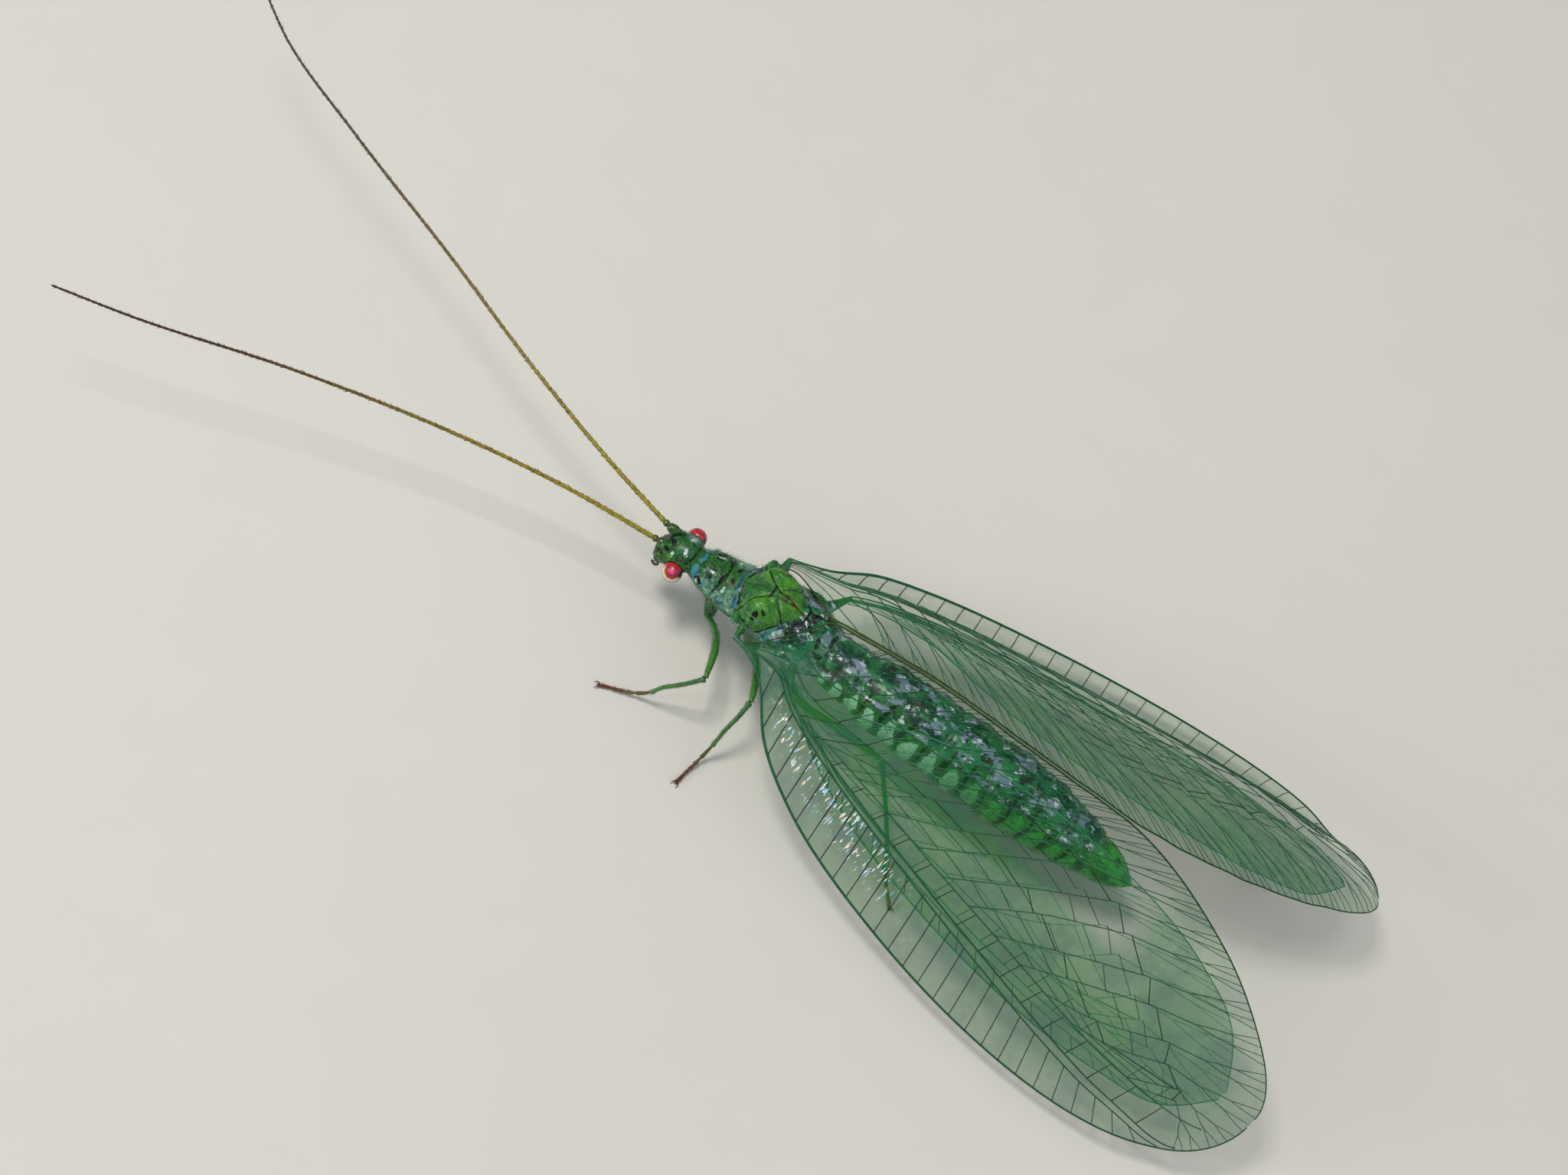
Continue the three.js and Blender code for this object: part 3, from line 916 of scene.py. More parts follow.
@dataclass(frozen=True)
class Lens(Finish):
    """Glossy compound eye in crimson, painted in rings round the side the camera looks from: a magenta painted
    highlight at the heart, a pale painted rim light below it, and painted shade in teal and dark towards the
    outside.
    """

    centre: Point = (0.0, 0.0, 0.0)
    # cap: the direction towards the main camera; the colour rings are painted round it
    cap: Point = (0.503, 0.0, 0.864)
    rim_light_side: Point = (0.86, 0.095, -0.5)
    heart_highlight: str = "e8559f"
    reds: tuple[str, str] = ("b0101c", "d3242a")
    wine: str = "8f0722"
    rose: str = "c01840"
    painted_rim_light: str = "f1e6b4"
    teal: str = "1c5a52"
    dark: str = "081412"
    under: str = "5c101c"
    rear: str = "16243a"
    facets_per_mm: float = 75.0
    facet_depth: float = 0.004

    def towards(self, tree: Tree, axis: Point) -> bpy.types.NodeSocket:
        """How far a point of the eye faces an axis.

        Args:
            tree: the material's nodes.
            axis: the direction.

        Returns:
            1 on the axis and 0 square to it.
        """
        away = tree.vector("SUBTRACT", tree.place(), self.centre)
        direction = tree.vector("NORMALIZE", away.outputs[0])
        return tree.vector("DOT_PRODUCT", direction.outputs[0], axis).outputs["Value"]

    def paint(self, tree: Tree, shader: bpy.types.Node, effects: Effects) -> None:
        """Paints rings round the cap's axis, with the painted highlight, painted rim light and painted shade,
        and fine facets.

        Args:
            tree: the material's nodes.
            shader: the node that is fed.
            effects: the shared node groups.
        """
        place = tree.place()
        patchy = Mottle(15.0, 60.0, soft=0.05).mask(tree, effects, place)
        wobble = tree.product(patchy, 0.05)
        facing = self.towards(tree, self.cap)
        cap = tree.math("ADD", facing, wobble)
        lean = tree.math("ADD", self.towards(tree, self.rim_light_side), wobble)
        back = self.towards(tree, (0.0, 1.0, 0.0))
        colour = tree.mix(patchy, *map(srgb, self.reds))
        # Wine and rose rings, a painted highlight at the heart, a painted rim light, painted shade in teal and
        # dark towards the edge, darker red on the side away from the camera and dark blue at the rear away
        # from the rim light.
        for mask, code in (
            (tree.spread(cap, 0.8, 0.88), self.wine),
            (tree.spread(cap, 0.93, 0.98), self.rose),
            (tree.spread(facing, 0.965, 0.992), self.heart_highlight),
            (tree.product(tree.spread(cap, 0.74, 0.67), tree.spread(lean, -0.3, 0.16)), self.painted_rim_light),
            (tree.spread(cap, 0.36, 0.26), self.teal),
            (tree.spread(cap, 0.22, 0.12), self.dark),
            (tree.spread(cap, -0.02, -0.3), self.under),
            (tree.product(tree.spread(back, 0.5, 0.68), tree.spread(lean, 0.3, 0.1)), self.rear),
        ):
            colour = tree.mix(mask, colour, srgb(code))
        tree.feed(shader.inputs["Base Color"], colour)
        facets = tree.texture("ShaderNodeTexVoronoi", place, self.facets_per_mm / MM, feature="F1")
        height = tree.product(facets.outputs["Distance"], -1.0)
        self.relief(tree, shader, height, self.facet_depth)


@dataclass(frozen=True)
class Film(Finish):
    """Clear wing membrane with a green-blue tint, clearest over the body, with painted glints in the front
    strip.
    """

    tint: str = "168430"
    cool: str = "19724a"
    clouds: float = 0.08
    clearing: float = 0.72
    white_glint: str = "ffffff"
    blue: str = "9fd0ff"
    warm: str = "ffd0a0"
    glint_cover: float = 0.75
    streaks: Point = (270.0, 17.0, 1.0)
    bump: float = 0.03

    def paint(self, tree: Tree, shader: bpy.types.Node, effects: Effects) -> None:
        """Paints a drifting tint, fine ripples, and streaky coloured painted glints.

        Args:
            tree: the material's nodes.
            shader: the node that is fed.
            effects: the shared node groups.
        """
        place = tree.place()
        drift = Mottle(1.3, 7.0, 0.5, 0.07).mask(tree, effects, place)
        colour = tree.mix(drift, srgb(self.tint), srgb(self.cool))
        on_map = tree.add("ShaderNodeUVMap", uv_map=BAKE_MAP).outputs["UV"]
        stretch = tree.vector("MULTIPLY", on_map, self.streaks)
        streak = tree.texture("ShaderNodeTexNoise", stretch.outputs[0], 1.0)
        warm = Mottle(9.0, 30.0, 0.56, 0.02).mask(tree, effects, place)
        blue = Mottle(11.0, 34.0, 0.5, 0.02).mask(tree, effects, place)
        glow = tree.mix(blue, srgb(self.white_glint), srgb(self.blue))
        glow = tree.mix(warm, glow, srgb(self.warm))
        # painted glints: white, blue and warm streaks where the shine mask lies, also more opaque there
        lit = tree.product(tree.spread(streak.outputs["Fac"], 0.57, 0.62), tree.mask(Trait.SHINE))
        tree.feed(shader.inputs["Base Color"], tree.mix(lit, colour, glow))
        alpha = tree.math("ADD", tree.product(drift, self.clouds), self.alpha)
        veil = tree.math("SUBTRACT", 1.0, tree.product(tree.mask(Trait.CLEAR), self.clearing))
        glint = tree.product(lit, self.glint_cover)
        tree.feed(shader.inputs["Alpha"], tree.math("ADD", tree.product(alpha, veil), glint, clamp=True))
        self.relief(tree, shader, Grain(5.2, 2.6, 0.65).height(tree, effects), self.bump)


@dataclass(frozen=True)
class Plain(Finish):
    """Cuticle of thin parts: two shades along the part, with a fine speckle."""

    base: str = "4f8a3c"
    tip: str = "4f8a3c"
    fleck: str = "1c2b18"
    fleck_share: float = 0.35
    cells_per_mm: float = 22.0
    bump: float = 0.008

    def paint(self, tree: Tree, shader: bpy.types.Node, effects: Effects) -> None:
        """Paints the shade from root to tip and the speckle.

        Args:
            tree: the material's nodes.
            shader: the node that is fed.
            effects: the shared node groups.
        """
        fine = Mottle(9.0, self.cells_per_mm, 0.54, 0.07).mask(tree, effects)
        along = tree.spread(tree.mask(Trait.ALONG), 0.05, 0.85)
        colour = tree.mix(along, srgb(self.base), srgb(self.tip))
        colour = tree.mix(tree.product(fine, self.fleck_share), colour, srgb(self.fleck))
        tree.feed(shader.inputs["Base Color"], colour)
        self.relief(tree, shader, Grain(self.cells_per_mm, 12.0).height(tree, effects), self.bump)


@dataclass(frozen=True)
class Bristle(Finish):
    """Setae, pale or dark, taking up the markings they grow on."""

    colour: str = "2a2a18"
    over_marks: str = "0c0d0a"

    def paint(self, tree: Tree, shader: bpy.types.Node, effects: Effects) -> None:
        """Paints the bristle colour, darker over dark marks.

        Args:
            tree: the material's nodes.
            shader: the node that is fed.
            effects: the shared node groups.
        """
        fine = Mottle(4.0, 12.0).mask(tree, effects)
        shade = tree.math("MAXIMUM", tree.mask(Tone.DARK), tree.product(fine, 0.4))
        tree.feed(shader.inputs["Base Color"], tree.mix(shade, srgb(self.colour), srgb(self.over_marks)))


@dataclass(frozen=True)
class Matt(Finish):
    """Plain pale floor with the faintest tooth."""

    colour: str = "d9d8d2"
    lighter: str = "dddcd6"

    def paint(self, tree: Tree, shader: bpy.types.Node, effects: Effects) -> None:
        """Paints an even pale colour with a trace of grain."""
        grain = Mottle(0.06, 0.9, soft=0.3).mask(tree, effects)
        tree.feed(shader.inputs["Base Color"], tree.mix(grain, srgb(self.colour), srgb(self.lighter)))


class Palette:
    """All finishes, made once."""

    def __init__(self, effects: Effects) -> None:
        """Makes the materials that pieces share.

        Args:
            effects: the shared node groups.
        """
        self.effects = effects
        self.skin = Cuticle(
            "body_cuticle", roughness=0.36, coat=0.12, coat_roughness=0.12, specular=0.3
        ).make(effects)
        self.membrane = Film("wing_film", roughness=0.28, alpha=0.36, specular=0.35).make(effects)
        self.under_membrane = Film("hindwing_film", roughness=0.32, alpha=0.32, specular=0.25).make(effects)
        veins = (
            Plain("green_vein", roughness=0.4, specular=0.3, base="1f6440", tip="1c5236", fleck="0c2a1e"),
            Plain("dark_vein", roughness=0.4, base="0d2a20", tip="0d2a22", fleck="050a08"),
            Plain(
                "olive_edge",
                roughness=0.45,
                specular=0.2,
                base="36520c",
                tip="1a5030",
                fleck="142008",
                fleck_share=0.6,
            ),
            Plain("hindwing_vein", roughness=0.45, specular=0.2, base="458c68", tip="4a8f72", fleck="2a6a4e"),
        )
        self.veins = [finish.make(effects) for finish in veins]
        self.leg = Plain("leg_cuticle", roughness=0.3, coat=0.4, base="2c6a2e", tip="3d7a2a").make(effects)
        self.foot = Plain("foot_cuticle", roughness=0.35, base="5c5a26", tip="66301f").make(effects)
        self.claw = Plain("claw_horn", roughness=0.25, coat=0.5, base="3a1c10", tip="150a06").make(effects)
        self.feeler = Plain(
            "feeler_cuticle", roughness=0.4, base="95860e", tip="3a1812", fleck="4a2a0a", fleck_share=0.5
        ).make(effects)
        self.feeler_base = Plain(
            "feeler_base_cuticle", roughness=0.25, coat=0.6, base="0d3012", tip="45520f", fleck="030503"
        ).make(effects)
        self.mouth = Plain(
            "mouth_cuticle", roughness=0.3, coat=0.3, base="24581f", tip="33260f"
        ).make(effects)
        self.bristle = Bristle("pale_setae", roughness=0.5, colour="9dbba0").make(effects)
        self.dark_bristle = Bristle("dark_setae", roughness=0.5, colour="1d1f14").make(effects)
        self.floor = Matt("pale_floor", roughness=0.75, specular=0.2).make(effects)


@dataclass(frozen=True)
class Blob:
    """One rounded mass of the body: a swelling between two points, with its own radii and stretch."""

    start: Point
    end: Point
    start_radius: float
    end_radius: float
    stretch: Point = (1.0, 1.0, 1.0)
    melt: float = 0.08

    def distance(self, points: np.ndarray) -> np.ndarray:
        """About how far points lie outside it.

        Args:
            points: places in millimetres.

        Returns:
            A distance for each, negative inside.
        """
        scale = np.array(self.stretch)
        p, a, b = points / scale, np.array(self.start) / scale, np.array(self.end) / scale
        axis = b - a
        length = max(float(axis @ axis), 1e-9)
        t = np.clip((p - a) @ axis / length, 0, 1)
        radius = self.start_radius + (self.end_radius - self.start_radius) * t
        return (np.linalg.norm(p - a - t[:, None] * axis, axis=1) - radius) * scale.min()


def melt(a: np.ndarray, b: np.ndarray, width: float) -> np.ndarray:
    """Union of two distances with a rounded join."""
    h = np.clip(0.5 + 0.5 * (b - a) / width, 0, 1)
    return b + (a - b) * h - width * h * (1 - h)


@dataclass(frozen=True)
class Mark:
    """A line or dot on the back, seen from above, mirrored to the other side."""

    tone: Tone
    points: tuple[tuple[float, float], ...]
    width: float
    strength: float = 1.0
    groove: float = 0.0

    def gap(self, x: np.ndarray, y: np.ndarray) -> np.ndarray:
        """How far places are from the line.

        Args:
            x: their distances from the middle.
            y: how far back they lie.

        Returns:
            A distance for each.
        """
        best = np.full(x.shape, 9.0)
        ends = list(self.points) if len(self.points) > 1 else [self.points[0], self.points[0]]
        for (ax, ay), (bx, by) in zip(ends, ends[1:]):
            dx, dy = bx - ax, by - ay
            run = max(dx * dx + dy * dy, 1e-9)
            t = np.clip(((x - ax) * dx + (y - ay) * dy) / run, 0, 1)
            best = np.minimum(best, np.hypot(x - ax - t * dx, y - ay - t * dy))
        return best

    def near(self, x: np.ndarray, y: np.ndarray) -> np.ndarray:
        """Closeness to the mark: over a half on it, falling evenly beside it."""
        return np.clip(0.5 + (self.width - self.gap(x, y)) / 0.05, 0, 1)


HEAD_BLOBS = (
    Blob((0, -0.09, 1.8), (0, 0.13, 1.81), 0.28, 0.305, (1.19, 0.85, 1.0)),
    Blob((0, -0.2, 1.56), (0, -0.2, 1.56), 0.27, 0.27, (1.08, 0.96, 1.02)),
    Blob((0, -0.31, 1.34), (0, -0.33, 1.28), 0.12, 0.1, (1.35, 1.05, 1.0)),
    Blob((0.15, -0.22, 1.9), (0.18, -0.33, 1.92), 0.1, 0.1, melt=0.05),
)
TRUNK_BLOBS = (
    Blob((0, 0.15, 1.74), (0, 0.7, 1.8), 0.21, 0.27, (1.2, 1.0, 1.0), melt=0.1),
    Blob((0.22, 0.96, 1.5), (0.31, 1.04, 1.08), 0.17, 0.11, melt=0.1),
    Blob((0.3, 1.9, 1.5), (0.36, 2.02, 1.0), 0.22, 0.13, melt=0.12),
    Blob((0.3, 2.72, 1.4), (0.37, 2.84, 0.94), 0.22, 0.13, melt=0.12),
    Blob((0.5, 1.7, 2.1), (0.94, 1.69, 2.08), 0.14, 0.06, melt=0.1),
    Blob((0.48, 1.47, 2.04), (0.7, 1.5, 2.07), 0.13, 0.085, melt=0.08),
    Blob((0.46, 2.62, 1.96), (1.06, 2.98, 2.03), 0.15, 0.045, melt=0.1),
    Blob((0.5, 2.0, 1.96), (0.64, 2.5, 1.96), 0.18, 0.16, melt=0.12),
    Blob((0.28, 0.92, 1.76), (0.33, 1.32, 1.8), 0.2, 0.22, melt=0.1),
    Blob((0.33, 1.76, 2.3), (0.33, 1.86, 2.3), 0.24, 0.24, (1.0, 1.3, 0.82), melt=0.05),
    Blob((0, 2.2, 2.36), (0, 2.3, 2.34), 0.17, 0.15, (1.3, 1.0, 0.8), melt=0.05),
    Blob((0.27, 2.72, 2.12), (0.27, 2.78, 2.1), 0.2, 0.2, (1.0, 1.2, 0.8), melt=0.06),
    Blob((0, 3.0, 2.12), (0, 3.05, 2.1), 0.13, 0.12, (1.2, 1.0, 0.8), melt=0.05),
)

# Marks of tone GLINT are painted highlights.
MARKS = (
    Mark(Tone.DARK, ((0.0, -0.3), (0.07, -0.24), (0.09, -0.17)), 0.034),
    Mark(Tone.DARK, ((0.13, -0.2), (0.14, -0.12)), 0.026),
    Mark(Tone.DARK, ((0.24, -0.28), (0.25, -0.2)), 0.022),
    Mark(Tone.RUST, ((0.0, -0.38), (0.04, -0.34)), 0.03, 0.8),
    Mark(Tone.LIME, ((0.27, -0.34), (0.33, -0.22), (0.34, -0.12)), 0.045, 0.9),
    Mark(Tone.GLINT, ((0.26, -0.1), (0.3, -0.09)), 0.026),
    Mark(Tone.GLINT, ((0.12, 0.06), (0.2, 0.12)), 0.035),
    Mark(Tone.DARK, ((0.03, 0.27), (0.2, 0.25), (0.28, 0.2)), 0.014, groove=0.02),
    Mark(Tone.TEAL, ((0.0, 0.41), (0.07, 0.41)), 0.045),
    Mark(Tone.TEAL, ((0.21, 0.38), (0.32, 0.42)), 0.06),
    Mark(Tone.TEAL, ((0.42, 0.5), (0.5, 0.64), (0.55, 0.82)), 0.03),
    Mark(Tone.DARK, ((0.35, 0.47), (0.4, 0.6)), 0.03),
    Mark(Tone.DARK, ((0.13, 0.62), (0.13, 0.71)), 0.032),
    Mark(Tone.DARK, ((0.22, 0.6), (0.27, 0.7)), 0.03),
    Mark(Tone.DARK, ((0.46, 0.66), (0.5, 0.78)), 0.026),
    Mark(Tone.GLINT, ((0.17, 0.64), (0.19, 0.74)), 0.026),
    Mark(Tone.DARK, ((0.0, 0.93), (0.2, 0.915), (0.32, 0.9), (0.42, 0.87)), 0.019, groove=0.025),
    Mark(Tone.DARK, ((0.14, 0.9), (0.24, 0.885)), 0.034),
    Mark(Tone.GLINT, ((0.3, 1.02), (0.36, 1.02)), 0.03),
    Mark(Tone.DARK, ((0.1, 1.06), (0.16, 1.1)), 0.03),
    Mark(Tone.TEAL, ((0.0, 1.19), (0.14, 1.2), (0.3, 1.25)), 0.024),
    Mark(Tone.TEAL, ((0.36, 1.28), (0.5, 1.35)), 0.036),
    Mark(Tone.DARK, ((0.1, 1.27), (0.3, 1.33), (0.42, 1.38)), 0.02),
    Mark(Tone.DARK, ((0.0, 1.28), (0.0, 1.76)), 0.01, groove=0.015),
    Mark(
        Tone.DARK, ((0.54, 1.42), (0.4, 1.48), (0.26, 1.59), (0.12, 1.76), (0.05, 1.9)), 0.015, groove=0.025
    ),
    Mark(Tone.DARK, ((0.0, 1.78), (0.13, 1.77)), 0.022),
    Mark(Tone.DARK, ((0.11, 1.91), (0.23, 2.02), (0.31, 2.12), (0.38, 2.22)), 0.015, groove=0.022),
    Mark(Tone.RUST, ((0.05, 1.92), (0.04, 2.1), (0.0, 2.3), (0.0, 2.48)), 0.018, groove=0.015),
    Mark(Tone.DARK, ((0.55, 1.73), (0.55, 1.745)), 0.05),
    Mark(Tone.DARK, ((0.46, 1.81), (0.49, 1.87)), 0.03),
    Mark(Tone.GLINT, ((0.36, 1.69), (0.34, 1.78)), 0.014, 0.9),
    Mark(
        Tone.DARK,
        ((0.6, 1.52), (0.7, 1.68), (0.7, 1.83), (0.63, 1.98), (0.5, 2.12), (0.4, 2.22)),
        0.013,
        groove=0.02,
    ),
    Mark(Tone.TEAL, ((0.66, 2.02), (0.6, 2.08), (0.5, 2.19), (0.4, 2.27)), 0.02),
    Mark(Tone.GLINT, ((0.56, 2.2), (0.46, 2.3)), 0.03),
    Mark(Tone.DARK, ((0.0, 2.54), (0.16, 2.53), (0.26, 2.43)), 0.025, groove=0.02),
    Mark(Tone.LIME, ((0.4, 2.5), (0.42, 2.56)), 0.09),
    Mark(Tone.GLINT, ((0.25, 2.74), (0.27, 2.8)), 0.045),
    Mark(Tone.DARK, ((0.14, 2.66), (0.18, 2.74)), 0.04),
    Mark(Tone.DARK, ((0.2, 2.94), (0.3, 2.97)), 0.045, groove=0.02),
    Mark(Tone.TEAL, ((0.66, 2.14), (0.68, 2.18)), 0.04),
    Mark(Tone.DARK, ((0.0, 2.56), (0.0, 2.9)), 0.01, groove=0.015),
    Mark(Tone.DARK, ((0.0, 3.16), (0.12, 3.18)), 0.04),
    Mark(Tone.GLINT, ((0.2, 3.26), (0.26, 3.3)), 0.04),
    Mark(Tone.DARK, ((0.42, 3.0), (0.36, 3.14)), 0.035),
    Mark(Tone.TEAL, ((0.5, 2.9), (0.46, 3.06)), 0.03),
)


def bell(x: np.ndarray, middle: float, width: float) -> np.ndarray:
    """Round hump, 1 at its middle and near 0 two widths from it."""
    return np.exp(-(((x - middle) / width) ** 2))


@dataclass
class BodySkin:
    """One skin over head, neck, thorax, coxae and abdomen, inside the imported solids."""

    trunk_nodes: tuple[str, ...] = ("prothorax", "mesothorax", "metathorax") + tuple(
        f"abdomen_{i}" for i in range(1, 9)
    )
    coat_depth: float = 0.025
    cell: float = 0.022
    rear_cell: float = 0.045
    low: Point = (0.0, -0.66, 0.72)
    high: Point = (1.14, 10.14, 2.72)
    eye_radii: Point = (0.185, 0.19, 0.21)
    socket_gap: float = 0.004
    abdomen_start: float = 3.28
    joint_lead: float = 0.1
    stroke_place: float = 0.56
    collars: Stations = ((0.52, 0.05), (1.22, 0.06))
    side_folds: Stations = ((0.72, 0.02), (1.95, 0.028))
    side_seams: tuple[float, ...] = (1.62, 2.28, 2.98)
    lime_patches: tuple[Stations, ...] = (((0.36, 1.84), (0.3, 0.42)), ((0.0, 2.28), (0.3, 0.2)))
    grid_parts: int = 24
    pulls: int = 3
    probe: float = 0.006
    setae: int = 8000
    seta_lift: tuple[float, float] = (0.9, 0.45)
    seta_length: tuple[float, float] = (0.085, 0.07)
    seta_jitter: float = 0.22
    joints: list[float] = field(default_factory=list)
    sections: np.ndarray = field(default_factory=lambda: np.zeros((0, 5)))
    points: np.ndarray = field(default_factory=lambda: np.zeros((0, 3)))
    normals: np.ndarray = field(default_factory=lambda: np.zeros((0, 3)))
    quads: np.ndarray = field(default_factory=lambda: np.zeros((0, 4), int))
    masks: dict[str, np.ndarray] = field(default_factory=dict)

    def read_sections(self, nodes: dict[str, bpy.types.Object]) -> None:
        """Reads place, half width, axis height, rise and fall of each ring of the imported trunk.

        Args:
            nodes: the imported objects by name.
        """
        rows = []
        for name in self.trunk_nodes:
            mesh = nodes[name].data
            places = FRAME.millimetres(np.array([v.co for v in mesh.vertices]))
            rings = np.round(places[:, 1], 3)
            self.joints.append(float(places[:, 1].min()))
            for y in np.unique(rings):
                ring = places[rings == y]
                widest = ring[ring[:, 0].argmax()]
                if widest[0] > 0.05:
                    top, bottom = ring[:, 2].max(), ring[:, 2].min()
                    rows.append((y, widest[0], widest[2], top - widest[2], widest[2] - bottom))
        self.sections = np.array(rows)

    def section(self, column: int, y: np.ndarray) -> np.ndarray:
        """One column of the trunk's sections, read at y."""
        return np.interp(y, self.sections[:, 0], self.sections[:, column])

    def abdomen_joints(self) -> list[float]:
        """Where the abdomen's segments begin."""
        return [joint for joint in self.joints if joint > self.abdomen_start - self.joint_lead]

    def trunk(self, p: np.ndarray) -> np.ndarray:
        """About how far points lie outside the trunk.

        Args:
            p: places in millimetres.

        Returns:
            A distance for each, negative inside.
        """
        rows = self.sections
        y = np.clip(p[:, 1], rows[0, 0], rows[-1, 0])
        half, axis, rise, fall = (self.section(column, y) for column in (1, 2, 3, 4))
        up = p[:, 2] - axis
        height = np.where(up > 0, rise, fall) - self.coat_depth
        half = half - self.coat_depth
        ring = np.sqrt((p[:, 0] / half) ** 2 + (up / height) ** 2)
        beside = (ring - 1) * np.minimum(half, height)
        past = np.abs(p[:, 1] - y)
        return np.where(past > 0, np.hypot(np.maximum(beside, 0), past) + np.minimum(beside, 0), beside)

    def eye(self, p: np.ndarray) -> np.ndarray:
        """About how far points lie outside the eye."""
        scaled = (p - np.array(FRAME.eye)) / np.array(self.eye_radii)
        return (np.linalg.norm(scaled, axis=1) - 1) * min(self.eye_radii)

    def half_segments(self, y: np.ndarray) -> tuple[np.ndarray, np.ndarray]:
        """Counts the abdomen's half segments.

        Args:
            y: places along the body.

        Returns:
            How many lie between the first dark stroke and y, and half a segment's length there.
        """
        ends = np.array([*self.abdomen_joints(), float(self.sections[-1, 0])])
        i = np.clip(np.searchsorted(ends, y, side="right") - 1, 0, len(ends) - 2)
        half = (ends[i + 1] - ends[i]) / 2
        return (y - ends[i]) / half - self.stroke_place + 2 * i, half

    def relief(self, p: np.ndarray) -> np.ndarray:
        """Sutures, folds and plates.

        Args:
            p: places in millimetres, with x not negative.

        Returns:
            How far the surface stands out of the plain masses at each.
        """
        x, y = p[:, 0], p[:, 1]
        axis = self.section(2, y)
        above = smoothstep(0.0, 0.15, p[:, 2] - axis)
        out = np.zeros(len(p))
        for mark in MARKS:
            if mark.groove:
                out -= mark.groove * bell(mark.gap(x, y), 0.0, 0.026) * above
        out += 0.022 * sum(bell(y, middle, width) for middle, width in self.collars) * above
        for joint in self.abdomen_joints():
            out -= 0.03 * bell(y, joint, 0.045)
            out += 0.012 * bell(y, joint - 0.1, 0.05) * above
        angle = np.arctan2(x, p[:, 2] - axis)
        belly = smoothstep(self.abdomen_start - self.joint_lead, self.abdomen_start + 0.3, y)
        lobe = np.sin(math.pi * self.half_segments(y)[0]) ** 2 - 0.5
        out += 0.045 * belly * lobe * bell(angle, 1.2, 0.45) * smoothstep(9.3, 8.6, y)
        for fold, depth in self.side_folds:
            out -= belly * depth * bell(angle - 0.05 * np.sin(y * 6.3), fold, 0.09)
        for place in self.side_seams:
            line = y - 0.35 * (axis - p[:, 2])
            out -= 0.03 * bell(line, place, 0.03) * smoothstep(0.0, 0.25, axis - p[:, 2]) * (y < 3.2)
        return out

    def distance(self, p: np.ndarray) -> np.ndarray:
        """How far points lie outside the finished body.

        Args:
            p: places in millimetres, on either side.

        Returns:
            A distance for each, negative inside.
        """
        p = np.column_stack([np.abs(p[:, 0]), p[:, 1:]])
        body = self.trunk(p)
        for blob in TRUNK_BLOBS:
            body = melt(body, blob.distance(p), blob.melt)
        head = HEAD_BLOBS[0].distance(p)
        for blob in HEAD_BLOBS[1:]:
            head = melt(head, blob.distance(p), blob.melt)
        eye = self.eye(p)
        head = head - 0.016 * bell(eye, 0.02, 0.02)
        body = melt(body, head, 0.05)
        body = body - self.relief(p)
        return np.maximum(body, -(eye - self.socket_gap))

    def mesh(self) -> None:
        """Finds the surface on a grid of cells and pulls its points onto it."""
        across = np.arange(0.0, self.high[0], self.cell)
        front = np.arange(self.low[1], self.abdomen_start + 0.1, 0.85 * self.cell)
        rear = np.arange(front[-1] + self.rear_cell, self.high[1], self.rear_cell)
        axes = [across, np.concatenate([front, rear]), np.arange(self.low[2], self.high[2], self.cell)]
        grid = np.stack(np.meshgrid(*axes, indexing="ij"), axis=-1).reshape(-1, 3)
        values = np.concatenate([self.distance(part) for part in np.array_split(grid, self.grid_parts)])
        half = values.reshape([len(a) for a in axes])
        full = np.concatenate([half[:0:-1], half], axis=0)
        axes[0] = np.concatenate([-across[:0:-1], across])
        points, self.quads = surface_net(full, axes)
        for _ in range(self.pulls):
            normals, gaps = self.slope(points)
            points = points - normals * np.clip(gaps, -self.cell, self.cell)[:, None] * 0.8
        self.points, self.normals = points, self.slope(points)[0]

    def slope(self, points: np.ndarray) -> tuple[np.ndarray, np.ndarray]:
        """Slope of the distance.

        Args:
            points: places in millimetres.

        Returns:
            Outward directions at points and their distance from the surface.
        """
        gaps = self.distance(points)
        steps = [self.distance(points + np.eye(3)[k] * self.probe) - gaps for k in range(3)]
        gradient = np.stack(steps, axis=1) / self.probe
        size = np.maximum(np.linalg.norm(gradient, axis=1), 0.3)
        return unit(gradient), gaps / size

    def unwrap(self, points: np.ndarray) -> np.ndarray:
        """Map places: round the body from the belly, and along it.

        Args:
            points: places in millimetres.

        Returns:
            Two numbers from 0 to 1 for each.
        """
        axis = self.section(2, points[:, 1])
        turn = np.arctan2(points[:, 0], points[:, 2] - axis) / (2 * math.pi)
        along = (points[:, 1] - self.low[1]) / (self.high[1] - self.low[1])
        return np.stack([0.5 + turn / SEAM_OVERLAP, 0.01 + 0.98 * along], axis=1)

